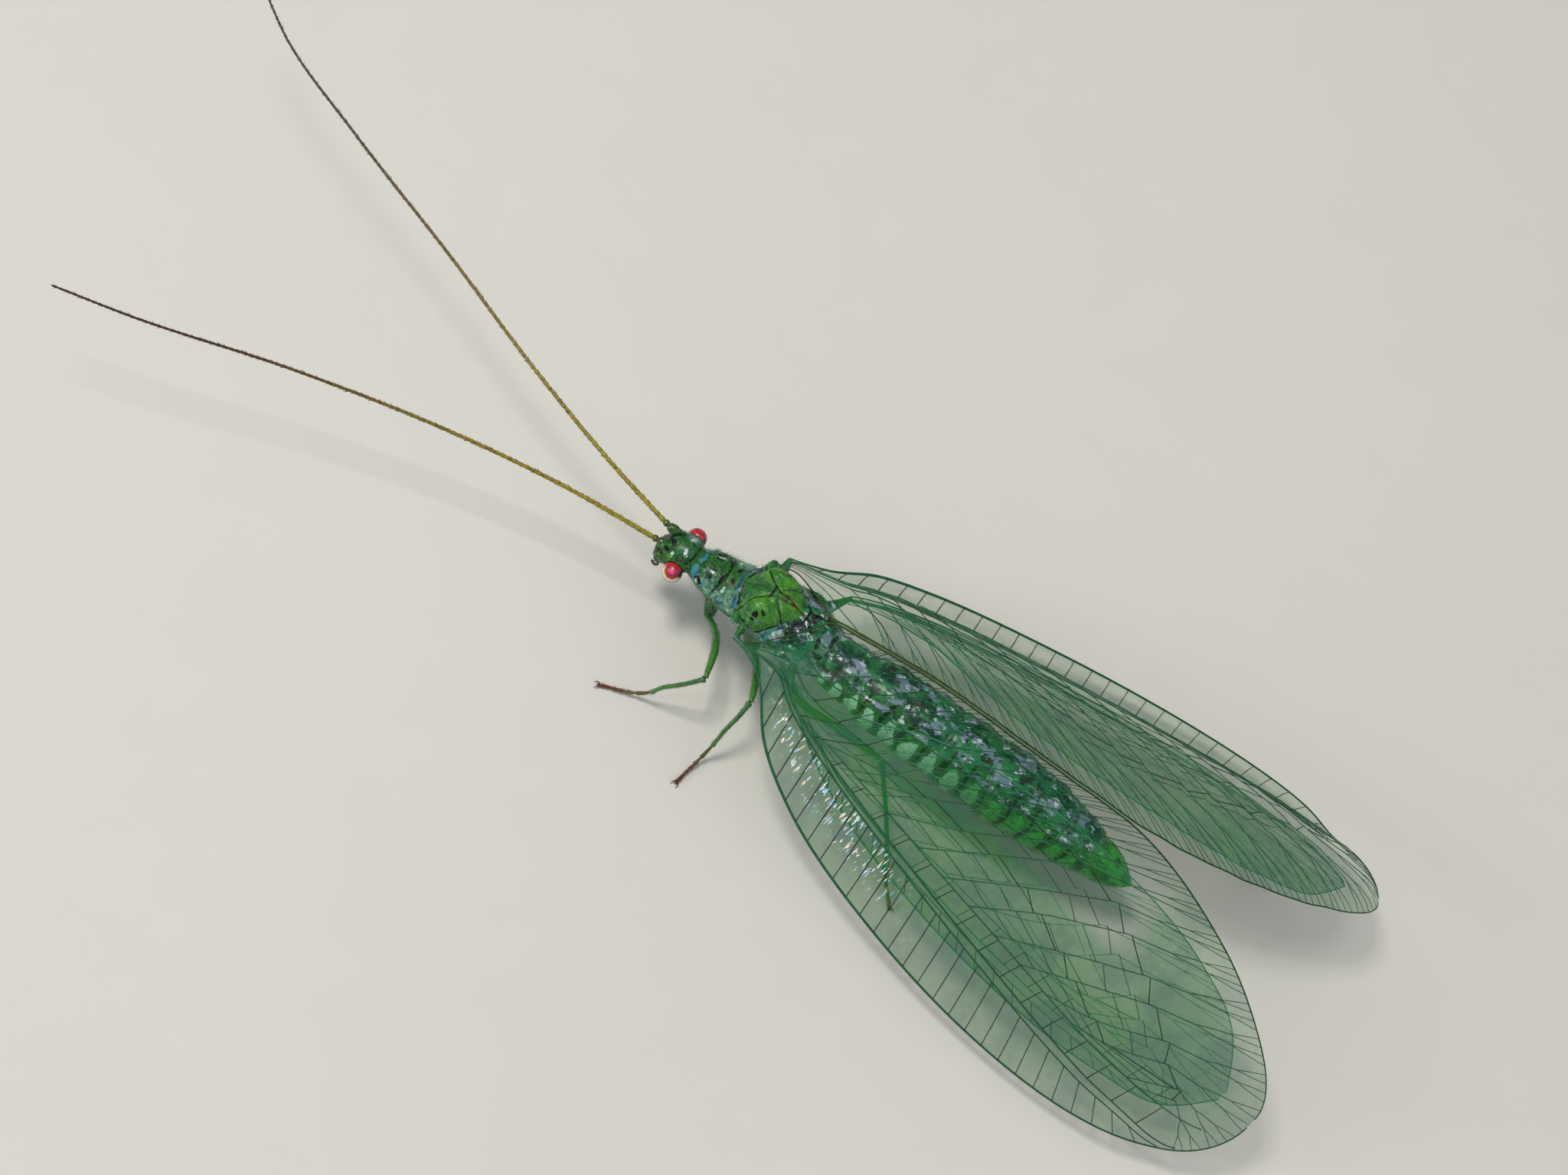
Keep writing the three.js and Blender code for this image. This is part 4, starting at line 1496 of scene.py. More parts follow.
    def paint(self, points: np.ndarray, normals: np.ndarray) -> dict[str, np.ndarray]:
        """Paints the markings.

        Args:
            points: places in millimetres.
            normals: outward directions there.

        Returns:
            Their masks at the points.
        """
        shift = [0.012 * rough_noise(points, 0.07, seed) for seed in (3.1, 17.7)]
        x, y = np.abs(points[:, 0]) + shift[0], points[:, 1] + shift[1]
        top = smoothstep(-0.1, 0.35, normals[:, 2])
        masks = {tone: np.zeros(len(points)) for tone in Tone}
        for mark in MARKS:
            near = mark.near(x, y) * mark.strength * top
            masks[mark.tone] = np.maximum(masks[mark.tone], near)
        for middle, reach in self.lime_patches:
            ring = np.hypot((x - middle[0]) / reach[0], (y - middle[1]) / reach[1])
            masks[Tone.LIME] = np.maximum(masks[Tone.LIME], np.clip(0.5 + 3 * (1 - ring), 0, 1) * top)
        self.paint_flanks(points, normals, x, y, masks)
        masks[Tone.REAR] = smoothstep(5.2, 7.4, y)
        neck = smoothstep(1.05, 1.25, y)
        masks[Tone.DEEP] = 0.85 * smoothstep(1.25, 1.05, y) + 0.3 * neck * smoothstep(3.3, 2.6, y)
        self.paint_abdomen(points, normals, x, y, masks)
        return {tone.value: mask for tone, mask in masks.items()}

    def paint_flanks(
        self,
        points: np.ndarray,
        normals: np.ndarray,
        x: np.ndarray,
        y: np.ndarray,
        masks: dict[Tone, np.ndarray],
    ) -> None:
        """Adds the grey-green haze, pale painted glints and blue patches of neck and thorax sides.

        Args:
            points: places in millimetres.
            normals: outward directions there.
            x: their distances from the middle, shaken a little.
            y: how far back they lie, shaken a little.
            masks: the masks so far, which are changed.
        """
        blotch = rough_noise(points, 0.16, 41.0)
        high = smoothstep(-0.12, 0.1, points[:, 2] - self.section(2, y))
        side = smoothstep(0.7, 0.35, normals[:, 2]) * smoothstep(0.35, 0.5, y)
        side = side * (y < self.abdomen_start) * high
        along = smoothstep(0.4, 0.55, y) * smoothstep(1.4, 1.25, y)
        collar = smoothstep(0.2, 0.4, x - 0.25 * blotch) * along * high
        masks[Tone.HAZE] = np.maximum(side * np.clip(0.75 + blotch, 0, 1), 0.7 * collar)
        # painted glints along the sides of neck and front thorax
        masks[Tone.GLINT] = np.maximum(masks[Tone.GLINT], side * np.clip(0.3 + blotch, 0, 1) * (y < 1.4))
        masks[Tone.TEAL] = np.maximum(masks[Tone.TEAL], side * np.clip(0.3 - 1.2 * blotch, 0, 1) * (y < 1.7))

    def paint_abdomen(
        self,
        points: np.ndarray,
        normals: np.ndarray,
        x: np.ndarray,
        y: np.ndarray,
        masks: dict[Tone, np.ndarray],
    ) -> None:
        """Adds the abdomen's dark mottled back with its painted sheen and glints, also laid on the metathorax
        and on top of the head as painted highlights, then its bright cells between dark strokes and its green
        tip.

        Args:
            points: places in millimetres.
            normals: outward directions there.
            x: their distances from the middle, shaken a little.
            y: how far back they lie, shaken a little.
            masks: the masks so far, which are changed.
        """
        on = smoothstep(self.abdomen_start - 0.15, self.abdomen_start + 0.2, y)
        tip = smoothstep(8.9, 9.4, y)
        coarse, fine = rough_noise(points, 0.22, 7.0), rough_noise(points, 0.09, 23.0)
        height = normals[:, 2] + 0.14 * coarse + 0.1 * fine
        # The back's mottle, with its painted sheen and glints, also covers the metathorax; the patch on top of
        # the head is a painted highlight.
        loin = smoothstep(2.38, 2.56, y + 0.6 * x) * smoothstep(0.3, 0.5, height) * smoothstep(0.9, 0.7, x)
        back = np.maximum(smoothstep(0.6, 0.78, height) * on, loin * (y < 3.6)) * (1 - tip)
        masks[Tone.BACK] = np.maximum(back, 0.75 * bell(x, 0.17, 0.12) * bell(y, 0.1, 0.12))
        wander = 0.07 * rough_noise(points, 0.4, 77.0)
        phase, half = self.half_segments(y + 0.14 * (x - 0.4) + 0.04 * coarse + 0.025 * fine + wander)
        line = np.abs(phase - np.round(phase)) * half
        broken = smoothstep(-0.4, -0.15, rough_noise(points, 0.3, 60.0) + 0.3 * fine)
        reach = smoothstep(-0.25, 0.0, normals[:, 2] + 0.2 * fine) * smoothstep(0.95, 0.75, height)
        dark = np.clip(0.5 + (0.038 - line) / 0.06, 0, 1) * broken * reach * on * (1 - tip)
        masks[Tone.DARK] = np.maximum(masks[Tone.DARK], dark)
        bulge = 1.2 * np.sin(math.pi * phase) ** 2 - 0.8 * ((normals[:, 2] - 0.1) / 0.5) ** 2 + 0.15
        cell = np.clip(bulge + 0.35 * coarse, 0, 1) * smoothstep(0.85, 0.65, height) * on
        masks[Tone.MINT] = np.maximum(cell * (1 - tip), tip * np.clip(0.5 + 0.7 * coarse, 0, 1))

    def build(self, frame: dict, palette: Palette) -> bpy.types.Object:
        """Builds and dresses the skin.

        Args:
            frame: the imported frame.
            palette: the finishes.

        Returns:
            The skin's object.
        """
        self.read_sections(frame["nodes"])
        self.mesh()
        self.masks = self.paint(self.points, self.normals)
        places = self.unwrap(self.points)[self.quads.ravel()].reshape(-1, 4, 2)
        crossing = np.ptp(places[:, :, 0], axis=1) > 0.5
        across = places[crossing, :, 0]
        places[crossing, :, 0] = np.where(across < 0.5, across + 1 / SEAM_OVERLAP, across)
        shape = Shape()
        shape.add(self.points, self.quads, places.reshape(-1, 2), 0, self.masks)
        piece = shape.build("body_skin", [palette.skin])
        coxae = [f"{leg}_coxa_{side}" for leg in ("fore", "mid", "hind") for side in SIDES]
        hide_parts("head", "shoulder_left", "shoulder_right", *self.trunk_nodes, *coxae)
        return piece

    def coat(self, palette: Palette, rng: np.random.Generator) -> bpy.types.Object:
        """Builds the body's setae, lying back along the skin and carrying its markings.

        Args:
            palette: the finishes.
            rng: the source of chance.

        Returns:
            The setae's object.
        """
        pick = rng.choice(len(self.points), self.setae, replace=False)
        roots, normals = self.points[pick], self.normals[pick]
        keep = (normals[:, 2] > -0.85) & (self.eye(np.abs(roots)) > 0.03)
        keep &= (roots[:, 1] > -0.45) & (np.abs(roots[:, 0]) < 0.8)
        roots, normals, pick = roots[keep], normals[keep], pick[keep]
        back = np.array([0, 1.0, 0]) - normals * normals[:, 1:2]
        ahead = roots[:, 1] < self.abdomen_start
        jitter = rng.normal(0, self.seta_jitter, roots.shape)
        directions = unit(normals * np.where(ahead, *self.seta_lift)[:, None] + unit(back) * 0.6 + jitter)
        length = np.where(ahead, *self.seta_length) * rng.uniform(0.6, 1.25, len(roots))
        length = np.where(roots[:, 1] < 0.35, length * 0.55, length)
        fringe = (np.abs(normals[:, 2]) < 0.5) & (roots[:, 1] > 0.4) & (roots[:, 1] < 1.9)
        length = np.where(fringe, length * 1.5, length)
        shape = Shape()
        values = {name: mask[pick] for name, mask in self.masks.items()}
        add_setae(shape, roots, directions, length, self.unwrap(roots), unit(back) * 0.5, values)
        piece = shape.build("body_setae", [palette.bristle])
        return piece


def surface_net(values: np.ndarray, axes: Sequence[np.ndarray]) -> tuple[np.ndarray, np.ndarray]:
    """Surface between inside and outside on a grid of distances.

    Args:
        values: distances at grid points, negative inside.
        axes: the places of the grid's lines along x, y and z.

    Returns:
        Points, one to each cell that the surface crosses, and quads facing out.
    """
    inside = values < 0
    shape = tuple(n - 1 for n in values.shape)
    offsets = [(i, j, k) for i in (0, 1) for j in (0, 1) for k in (0, 1)]

    def corner(offset: tuple[int, int, int]) -> np.ndarray:
        """Whether the cells' corner at offset is inside."""
        return inside[tuple(slice(o, o + n) for o, n in zip(offset, shape))]

    total = sum(corner(o).astype(np.int8) for o in offsets)
    cells = np.argwhere((total > 0) & (total < 8))
    index = np.full(shape, -1)
    index[tuple(cells.T)] = np.arange(len(cells))
    sums, hits = np.zeros((len(cells), 3)), np.zeros(len(cells))
    for a in offsets:
        for axis in range(3):
            if a[axis]:
                continue
            b = tuple(o + (k == axis) for k, o in enumerate(a))
            va = values[tuple((cells + a).T)]
            vb = values[tuple((cells + b).T)]
            cross = (va < 0) != (vb < 0)
            share = np.where(cross, va / np.where(cross, va - vb, 1), 0)
            spot = np.tile(np.array(a, float), (len(cells), 1))
            spot[:, axis] = share
            sums += spot * cross[:, None]
            hits += cross
    at_lines = cells + sums / hits[:, None]
    points = np.stack([np.interp(at_lines[:, k], np.arange(len(a)), a) for k, a in enumerate(axes)], axis=1)
    quads = []
    for axis in range(3):
        u, v = (axis + 1) % 3, (axis + 2) % 3
        first = inside[tuple(slice(0, -1) if k == axis else slice(None) for k in range(3))]
        second = inside[tuple(slice(1, None) if k == axis else slice(None) for k in range(3))]
        edges = np.argwhere(first != second)
        edges = edges[(edges[:, u] > 0) & (edges[:, v] > 0)]
        edges = edges[(edges[:, u] < shape[u]) & (edges[:, v] < shape[v])]
        leaving = first[tuple(edges.T)]
        corners = []
        for du, dv in ((0, 0), (-1, 0), (-1, -1), (0, -1)):
            spot = edges.copy()
            spot[:, u] += du
            spot[:, v] += dv
            corners.append(index[tuple(spot.T)])
        quad = np.stack(corners, axis=1)
        quad[~leaving] = quad[~leaving][:, ::-1]
        quads.append(quad)
    return points, np.concatenate(quads)


@dataclass(frozen=True)
class Outline:
    """Edge of one wing: reach to the front and hind edges at stations along the forewing's length."""

    stations: tuple[float, ...]
    front: tuple[float, ...]
    hind: tuple[float, ...]

    def reach(self, edge: tuple[float, ...], s: np.ndarray) -> np.ndarray:
        """Reach to one edge, round at root and tip.

        Args:
            edge: the reach at each station.
            s: shares of the forewing's length.

        Returns:
            The reach at each share.
        """
        angles = [math.acos(1 - 2 * min(1.0, max(0.0, place))) for place in self.stations]
        at = np.arccos(1 - 2 * np.clip(s, self.stations[0], self.stations[-1]))
        return through(angles, edge, at)

    def front_at(self, s: np.ndarray) -> np.ndarray:
        """Reach to the front edge."""
        return self.reach(self.front, s)

    def hind_at(self, s: np.ndarray) -> np.ndarray:
        """Reach to the hind edge."""
        return self.reach(self.hind, s)


FOREWING_OUTLINE = Outline(
    (0, 0.03, 0.047, 0.066, 0.083, 0.13, 0.22, 0.42, 0.62, 0.8, 0.93, 1),
    (0.12, 0.2, 0.28, 0.4, 0.58, 1.15, 1.72, 2.25, 2.38, 2.13, 1.49, 0.1),
    (0.12, 0.2, 0.53, 0.9, 1.3, 1.5, 1.78, 2.08, 2.33, 1.9, 1.14, 0.1),
)
HINDWING_OUTLINE = Outline(
    (0.105, 0.16, 0.24, 0.3, 0.45, 0.62, 0.8, 0.9, 0.945),
    (0.16, 0.56, 1.0, 1.2, 1.45, 1.5, 1.24, 0.82, 0.1),
    (0.04, 0.1, 0.55, 0.95, 1.45, 1.65, 1.4, 0.85, 0.1),
)


@dataclass(frozen=True)
class WingPlan:
    """Where the long veins run, as shares of the way from front to hind edge at shares of the length."""

    costal_step: float
    costal_span: tuple[float, float]
    subcosta: Stations
    radius_gap: float
    sector: Stations
    pseudomedia: Stations
    pseudocubitus: Stations
    inner: Stations
    outer: Stations
    basal_forks: tuple[float, ...]
    base_steps: tuple[float, ...]
    anal: tuple[Stations, ...]
    edge_start: float
    margin_end: float


FOREWING_PLAN = WingPlan(
    costal_step=0.031,
    costal_span=(0.05, 0.9),
    subcosta=((0.0, 0.4), (0.04, 0.26), (0.09, 0.25), (0.14, 0.27), (0.24, 0.28), (0.38, 0.265), (0.52, 0.23),
              (0.66, 0.185), (0.78, 0.14), (0.87, 0.09), (0.93, 0.01)),
    radius_gap=0.036,
    sector=((0.13, 0.3), (0.2, 0.36), (0.3, 0.385), (0.45, 0.37), (0.6, 0.335), (0.75, 0.3), (0.88, 0.28),
            (0.955, 0.26)),
    pseudomedia=((0.0, 0.55), (0.06, 0.43), (0.12, 0.44), (0.2, 0.5), (0.295, 0.54)),
    pseudocubitus=((0.0, 0.65), (0.06, 0.56), (0.13, 0.6), (0.22, 0.68), (0.32, 0.725), (0.395, 0.75)),
    inner=((0.3, 0.54), (0.36, 0.565), (0.42, 0.575), (0.48, 0.58), (0.53, 0.56), (0.58, 0.52), (0.63, 0.475),
           (0.68, 0.43), (0.73, 0.38), (0.78, 0.345)),
    outer=((0.4, 0.75), (0.46, 0.77), (0.52, 0.78), (0.58, 0.775), (0.635, 0.755), (0.69, 0.71), (0.74, 0.66),
           (0.785, 0.6), (0.825, 0.54), (0.86, 0.47), (0.885, 0.41), (0.905, 0.35)),
    basal_forks=(0.09, 0.13, 0.17, 0.21, 0.25, 0.29, 0.33, 0.37),
    base_steps=(0.1, 0.145, 0.19, 0.24),
    anal=(((0.0, 0.75), (0.05, 0.7), (0.11, 0.77), (0.15, 0.86), (0.18, 1.0)),
          ((0.0, 0.85), (0.05, 0.82), (0.1, 0.92), (0.13, 1.0))),
    edge_start=0.17,
    margin_end=0.95,
)
HINDWING_PLAN = WingPlan(
    costal_step=0.036,
    costal_span=(0.2, 0.84),
    subcosta=((0.105, 0.4), (0.15, 0.25), (0.22, 0.14), (0.32, 0.11), (0.5, 0.1), (0.65, 0.09), (0.78, 0.07),
              (0.86, 0.01)),
    radius_gap=0.05,
    sector=((0.17, 0.26), (0.26, 0.27), (0.4, 0.29), (0.55, 0.285), (0.7, 0.27), (0.82, 0.25), (0.91, 0.23)),
    pseudomedia=((0.105, 0.55), (0.16, 0.45), (0.25, 0.5), (0.34, 0.52)),
    pseudocubitus=((0.105, 0.65), (0.16, 0.6), (0.26, 0.7), (0.41, 0.76)),
    inner=((0.35, 0.52), (0.41, 0.54), (0.47, 0.55), (0.53, 0.53), (0.59, 0.48), (0.65, 0.42), (0.71, 0.35)),
    outer=((0.42, 0.76), (0.48, 0.78), (0.54, 0.78), (0.6, 0.76), (0.65, 0.7), (0.7, 0.63), (0.75, 0.54),
           (0.79, 0.45), (0.82, 0.36)),
    basal_forks=(0.18, 0.22, 0.26, 0.3, 0.34, 0.38),
    base_steps=(0.19, 0.24, 0.29),
    anal=(((0.105, 0.8), (0.16, 0.8), (0.2, 0.9), (0.23, 1.0)),),
    edge_start=0.24,
    margin_end=0.9,
)


class VeinLook(Enum):
    """Finishes of the veins, by their place among the palette's vein finishes."""

    GREEN = 0
    DARK = 1
    EDGE = 2
    HINDWING = 3


@dataclass(frozen=True)
class Gauge:
    """Radius of a vein at its start and end, and its finish."""

    start: float
    end: float
    look: VeinLook = VeinLook.GREEN


@dataclass
class Wing:
    """One wing: a clear membrane on the folded wing surface, with its net of veins and their setae."""

    name: str
    side: int
    outline: Outline
    plan: WingPlan
    depth: float
    # strength of the painted glints in the front strip
    sheen: float = 0.0
    weight: float = 1.0
    clearing: float = 1.0
    valley: float = 0.19
    root: Point = (0.91, 1.68, 2.4)
    length: float = 12.6
    yaw: float = math.radians(8)
    pitch: float = math.radians(-4.3)
    slope_root: float = math.radians(38.5)
    slope_tip: float = math.radians(31.2)
    camber: float = 0.12
    camber_skew: float = 1.45
    droop: float = 0.28
    droop_span: float = 0.16
    settle: float = 0.25
    ridge_clearance: float = 0.03
    rows: int = 190
    columns: int = 56
    vein_step: float = 0.12
    vein_taper: tuple[float, float] = (0.45, 0.13)
    radial_gap: float = 0.047
    zigzag: float = 0.005
    step_slant: float = 0.07
    fork_split: float = 0.38
    hair_gap: float = 0.14
    hair_length: tuple[float, float] = (0.05, 0.09)
    veins: list[tuple[np.ndarray, Gauge]] = field(default_factory=list)

    def frame_at(self, s: np.ndarray) -> tuple[np.ndarray, np.ndarray, np.ndarray]:
        """Directions of the wing.

        Args:
            s: shares of the forewing's length.

        Returns:
            The direction along the wing, and at each share from front to hind edge and outward.
        """
        cos_pitch = math.cos(self.pitch)
        along = np.array(
            [math.sin(self.yaw) * cos_pitch, math.cos(self.yaw) * cos_pitch, math.sin(self.pitch)]
        )
        slope = self.slope_root + (self.slope_tip - self.slope_root) * s
        across = np.stack([-np.cos(slope), 0 * slope, np.sin(slope)], axis=-1)
        across = unit(across - (across @ along)[..., None] * along)
        outward = np.cross(along, across)
        return along, across, outward * np.sign(outward[..., 2:3])

    def relief(self, s: np.ndarray, f: np.ndarray) -> np.ndarray:
        """Pleats: ridges on the long veins, hollows between them and cushions in the costal cells.

        Args:
            s: shares of the forewing's length.
            f: shares of the way from front to hind edge.

        Returns:
            How far the film stands out at each place.
        """
        sub = self.curve(self.plan.subcosta, s)
        rad = sub + self.plan.radius_gap
        fade = smoothstep(0.02, 0.14, s) * smoothstep(1.0, 0.9, s)
        pleat = 0.06 * bell(f, rad, 0.022) - self.valley * bell(f, sub + 0.015, 0.075)
        media, cubitus = (
            self.curve(stations, np.minimum(s, stations[-1][0]))
            for stations in (self.plan.pseudomedia, self.plan.pseudocubitus)
        )
        pleat += 0.03 * bell(f, cubitus, 0.03) - 0.025 * bell(f, media, 0.03)
        cushion = np.cos(2 * math.pi * s / self.plan.costal_step) * np.clip(f * (sub - f) / 0.02, 0, 1)
        rest = np.clip((f - rad) * 6, 0, 1) * np.sin(s * 88 + f * 31) * np.sin(f * 57 - s * 23)
        return fade * (pleat - 0.02 * cushion + 0.012 * rest)

    def curve(self, stations: Stations, s: np.ndarray) -> np.ndarray:
        """A long vein's share of the way across at s."""
        return through([a for a, _ in stations], [b for _, b in stations], s)

    def point(self, s: np.ndarray, f: np.ndarray) -> np.ndarray:
        """Places on the membrane.

        Args:
            s: shares of the forewing's length.
            f: shares of the way from this wing's front edge to its hind edge.

        Returns:
            Points in millimetres.
        """
        s, f = np.asarray(s, float), np.asarray(f, float)
        along, across, outward = self.frame_at(s)
        front, hind = self.outline.front_at(s), self.outline.hind_at(s)
        t = -front + f * (front + hind)
        cover_front, cover_hind = FOREWING_OUTLINE.front_at(s), FOREWING_OUTLINE.hind_at(s)
        chord = cover_front + cover_hind
        place = np.clip((t + cover_front) / chord, 0, 1) ** self.camber_skew
        bulge = self.camber * chord * 4 * place * (1 - place) + self.relief(s, f)
        droop = self.droop * np.maximum(0, 1 - s / self.droop_span) ** 2
        spot = np.array(self.root) + (s * self.length)[..., None] * along
        spot = spot + t[..., None] * across + (bulge - self.depth)[..., None] * outward
        spot[..., 2] -= droop + self.settle * smoothstep(0.3, 0.06, s) * f**2
        spot[..., 0] = np.maximum(spot[..., 0], self.ridge_clearance) * self.side
        return spot

    def flat(self, s: np.ndarray, f: np.ndarray) -> np.ndarray:
        """The same places on the wing laid flat, in millimetres."""
        front, hind = self.outline.front_at(s), self.outline.hind_at(s)
        return np.stack([s * self.length, -front + f * (front + hind)], axis=-1)

    def from_flat(self, q: np.ndarray) -> tuple[np.ndarray, np.ndarray]:
        """Finds places of the flat wing again.

        Args:
            q: places on the flat wing, in millimetres.

        Returns:
            Their shares of the length and of the way across, held inside the edge.
        """
        s = np.clip(q[..., 0] / self.length, self.outline.stations[0], self.outline.stations[-1])
        front, hind = self.outline.front_at(s), self.outline.hind_at(s)
        return s, np.clip((q[..., 1] + front) / np.maximum(front + hind, 1e-6), 0, 1)

    def add_vein(self, knots: Sequence[Sequence[float]], gauge: Gauge) -> None:
        """Keeps a vein through flat points."""
        count = max(4, int(float(path_steps(np.asarray(knots, float)).sum()) / self.vein_step))
        self.veins.append((smooth_path(knots, count), gauge))

    def long_vein(self, stations: Stations, gauge: Gauge, shift: float = 0.0) -> None:
        """Adds a long vein.

        Args:
            stations: where it runs.
            gauge: its thickness and finish.
            shift: how much further back it lies than the stations, as a share of the way across.
        """
        s = np.linspace(stations[0][0], stations[-1][0], 60)
        f = self.curve(stations, s) + shift * smoothstep(0, 0.06, s - stations[0][0])
        self.add_vein(self.flat(s, np.clip(f, 0.0, 1.0)), gauge)

    def edge_points(self, count: int) -> np.ndarray:
        """Flat points spaced round the edge, from the hind edge past the tip to the front edge.

        Args:
            count: how many.

        Returns:
            The points.
        """
        last = self.outline.stations[-1]
        s = last - (last - self.plan.edge_start) * (1 - np.linspace(0, 1, 200)) ** 2
        back = last - (last - self.plan.margin_end) * np.linspace(0, 1, 80) ** 2
        return spaced(np.concatenate([self.flat(s, np.ones(200)), self.flat(back, np.zeros(80))]), count)

    def on(self, stations: Stations, s: float) -> np.ndarray:
        """Flat point on a long vein."""
        return self.flat(np.array(s), self.curve(stations, np.array(s)))

    def from_root_to_tip(self, count: int) -> np.ndarray:
        """Shares of the length from this wing's root to its tip, closest at both ends."""
        first, last = self.outline.stations[0], self.outline.stations[-1]
        return first + (last - first) * (1 - np.cos(np.linspace(0, math.pi, count))) / 2

    def lay_veins(self) -> None:
        """Lays out the whole net of veins on the flat wing."""
        plan = self.plan
        s = self.from_root_to_tip(120)
        self.veins.append((self.flat(s, 0 * s), Gauge(0.032, 0.012)))
        self.veins.append((self.flat(s, 0 * s + 1), Gauge(0.026, 0.01, VeinLook.EDGE)))
        radius = (*plan.subcosta[:-1], (plan.margin_end, -plan.radius_gap + 0.02))
        self.long_vein(plan.subcosta, Gauge(0.022, 0.011))
        self.long_vein(radius, Gauge(0.026, 0.012), plan.radius_gap)
        self.long_vein(plan.sector, Gauge(0.015, 0.01))
        for stations in plan.anal:
            self.long_vein(stations, Gauge(0.013, 0.009))
        for stations, row in ((plan.pseudomedia, plan.inner), (plan.pseudocubitus, plan.outer)):
            self.long_vein((*stations, row[0]), Gauge(0.016, 0.011))
        self.lay_cross_veins()
        self.lay_branches()

    def lay_cross_veins(self) -> None:
        """Adds the many cross-veins in the front strip, between radius and sector and at the base."""
        plan = self.plan
        for s in np.arange(*plan.costal_span, plan.costal_step):
            top = self.flat(np.array(s + 0.008 + 0.01 * s), np.array(0.0))
            gauge = Gauge(0.014 - 0.006 * s, 0.012 - 0.005 * s, VeinLook.DARK)
            self.add_vein([self.on(plan.subcosta, s - 0.006), top], gauge)
        thin = Gauge(0.01, 0.009, VeinLook.DARK)
        for s in np.arange(plan.sector[0][0] + 0.05, plan.sector[-1][0] - 0.03, self.radial_gap):
            top = float(self.curve(plan.subcosta, np.array(s))) + plan.radius_gap
            self.add_vein([self.flat(np.array(s), np.array(top)), self.on(plan.sector, s + 0.008)], thin)
        for s in plan.base_steps:
            self.add_vein([self.on(plan.pseudomedia, s), self.on(plan.pseudocubitus, s + 0.03)], thin)
        for s in plan.base_steps[1:3]:
            self.add_vein([self.on(plan.sector, s), self.on(plan.pseudomedia, s + 0.05)], thin)

    def lay_branches(self) -> None:
        """Adds the sector's branches, their two rows of steps and the forks all along the edge."""
        plan = self.plan
        basal, count = len(plan.basal_forks), len(plan.outer)
        ends = self.edge_points(4 * (basal + count))
        for k, s in enumerate(plan.basal_forks):
            self.fork(self.on(plan.pseudocubitus, s), ends[4 * k : 4 * k + 4])
        paths = []
        for k, outer in enumerate(plan.outer):
            zigzag = self.zigzag * (-1) ** k
            rows = [plan.inner[k]] if k < len(plan.inner) else []
            lead = 0.1 - 0.05 * k / count
            path = [self.on(plan.sector, (rows or [outer])[0][0] - lead)]
            path += [self.flat(np.array(s + zigzag), np.array(f)) for s, f in (*rows, outer)]
            self.add_vein(path, Gauge(0.011, 0.009))
            self.fork(path[-1], ends[4 * (basal + k) : 4 * (basal + k) + 4])
            paths.append(path)
        step = Gauge(0.011, 0.01, VeinLook.DARK)
        for near, far in zip(paths, paths[1:]):
            for row in range(1, min(len(near), len(far))):
                ahead, before = unit(near[row] - near[row - 1]), unit(far[row] - far[row - 1])
                self.add_vein([near[row] + self.step_slant * ahead, far[row] - self.step_slant * before], step)
                for share in (0.36, 0.7) if row == 1 else (0.5,):
                    start = near[row - 1] + share * (near[row] - near[row - 1])
                    end = far[row - 1] + (share - 0.08) * (far[row] - far[row - 1])
                    self.add_vein([start, end], Gauge(0.009, 0.008))
            if len(near) != len(far):
                self.add_vein([near[2], far[1]], step)

    def fork(self, start: np.ndarray, ends: np.ndarray) -> None:
        """Adds a vein that splits in two on its way to the edge, and each half in two again.

        Args:
            start: where it leaves its mother vein.
            ends: its four ends on the edge.
        """
        middle = ends.mean(axis=0)
        split = (1 - self.fork_split) * start + self.fork_split * middle
        self.add_vein([start, split], Gauge(0.01, 0.009))
        for pair in (ends[:2], ends[2:]):
            centre = pair.mean(axis=0)
            second = 0.5 * (split + centre) + 0.12 * (centre - middle)
            bend = 0.5 * (split + second) + 0.08 * (centre - middle)
            self.add_vein([split, bend, second], Gauge(0.009, 0.008))
            for end in pair:
                bend = 0.5 * (second + end) + 0.1 * (end - centre)
                self.add_vein([second, bend, end], Gauge(0.008, 0.006))

    def build(self, palette: Palette, rng: np.random.Generator) -> None:
        """Builds membrane, veins and setae, and dresses them.

        Args:
            palette: the finishes.
            rng: the source of chance.
        """
        self.build_membrane(palette)
        self.lay_veins()
        self.build_net(palette, rng)

    def build_membrane(self, palette: Palette) -> None:
        """Builds the film, with where its painted glints lie and where it is clear.

        Args:
            palette: the finishes.
        """
        film = palette.membrane if self.name.startswith("forewing") else palette.under_membrane
        s = self.from_root_to_tip(self.rows)
        grid_s, grid_f = np.meshgrid(s, np.linspace(0, 1, self.columns), indexing="ij")
        i, j = np.meshgrid(np.arange(self.rows - 1), np.arange(self.columns - 1), indexing="ij")
        here = i * self.columns + j
        quads = np.stack([here, here + self.columns, here + self.columns + 1, here + 1], axis=-1)
        places = np.stack([grid_s.ravel(), grid_f.ravel()], axis=1)
        shape = Shape()
        edge = self.curve(self.plan.subcosta, grid_s)
        shine = smoothstep(0.08, 0.14, grid_s) * smoothstep(0.46, 0.38, grid_s)
        shine *= smoothstep(0.07, 0.13, grid_f) * smoothstep(edge + 0.02, edge - 0.03, grid_f)
        clear = smoothstep(0.55, 0.68, grid_f) * smoothstep(0.74, 0.66, grid_s)
        values = {
            Trait.SHINE.value: (self.sheen * shine).ravel(),
            Trait.CLEAR.value: (self.clearing * clear).ravel(),
        }
        points = self.point(grid_s, grid_f).reshape(-1, 3)
        shape.add(points, quads.reshape(-1, 4)[:, :: self.side], places, 0, values)
        sheet = shape.build(f"{self.name}_membrane", [film])
        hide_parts(self.name)

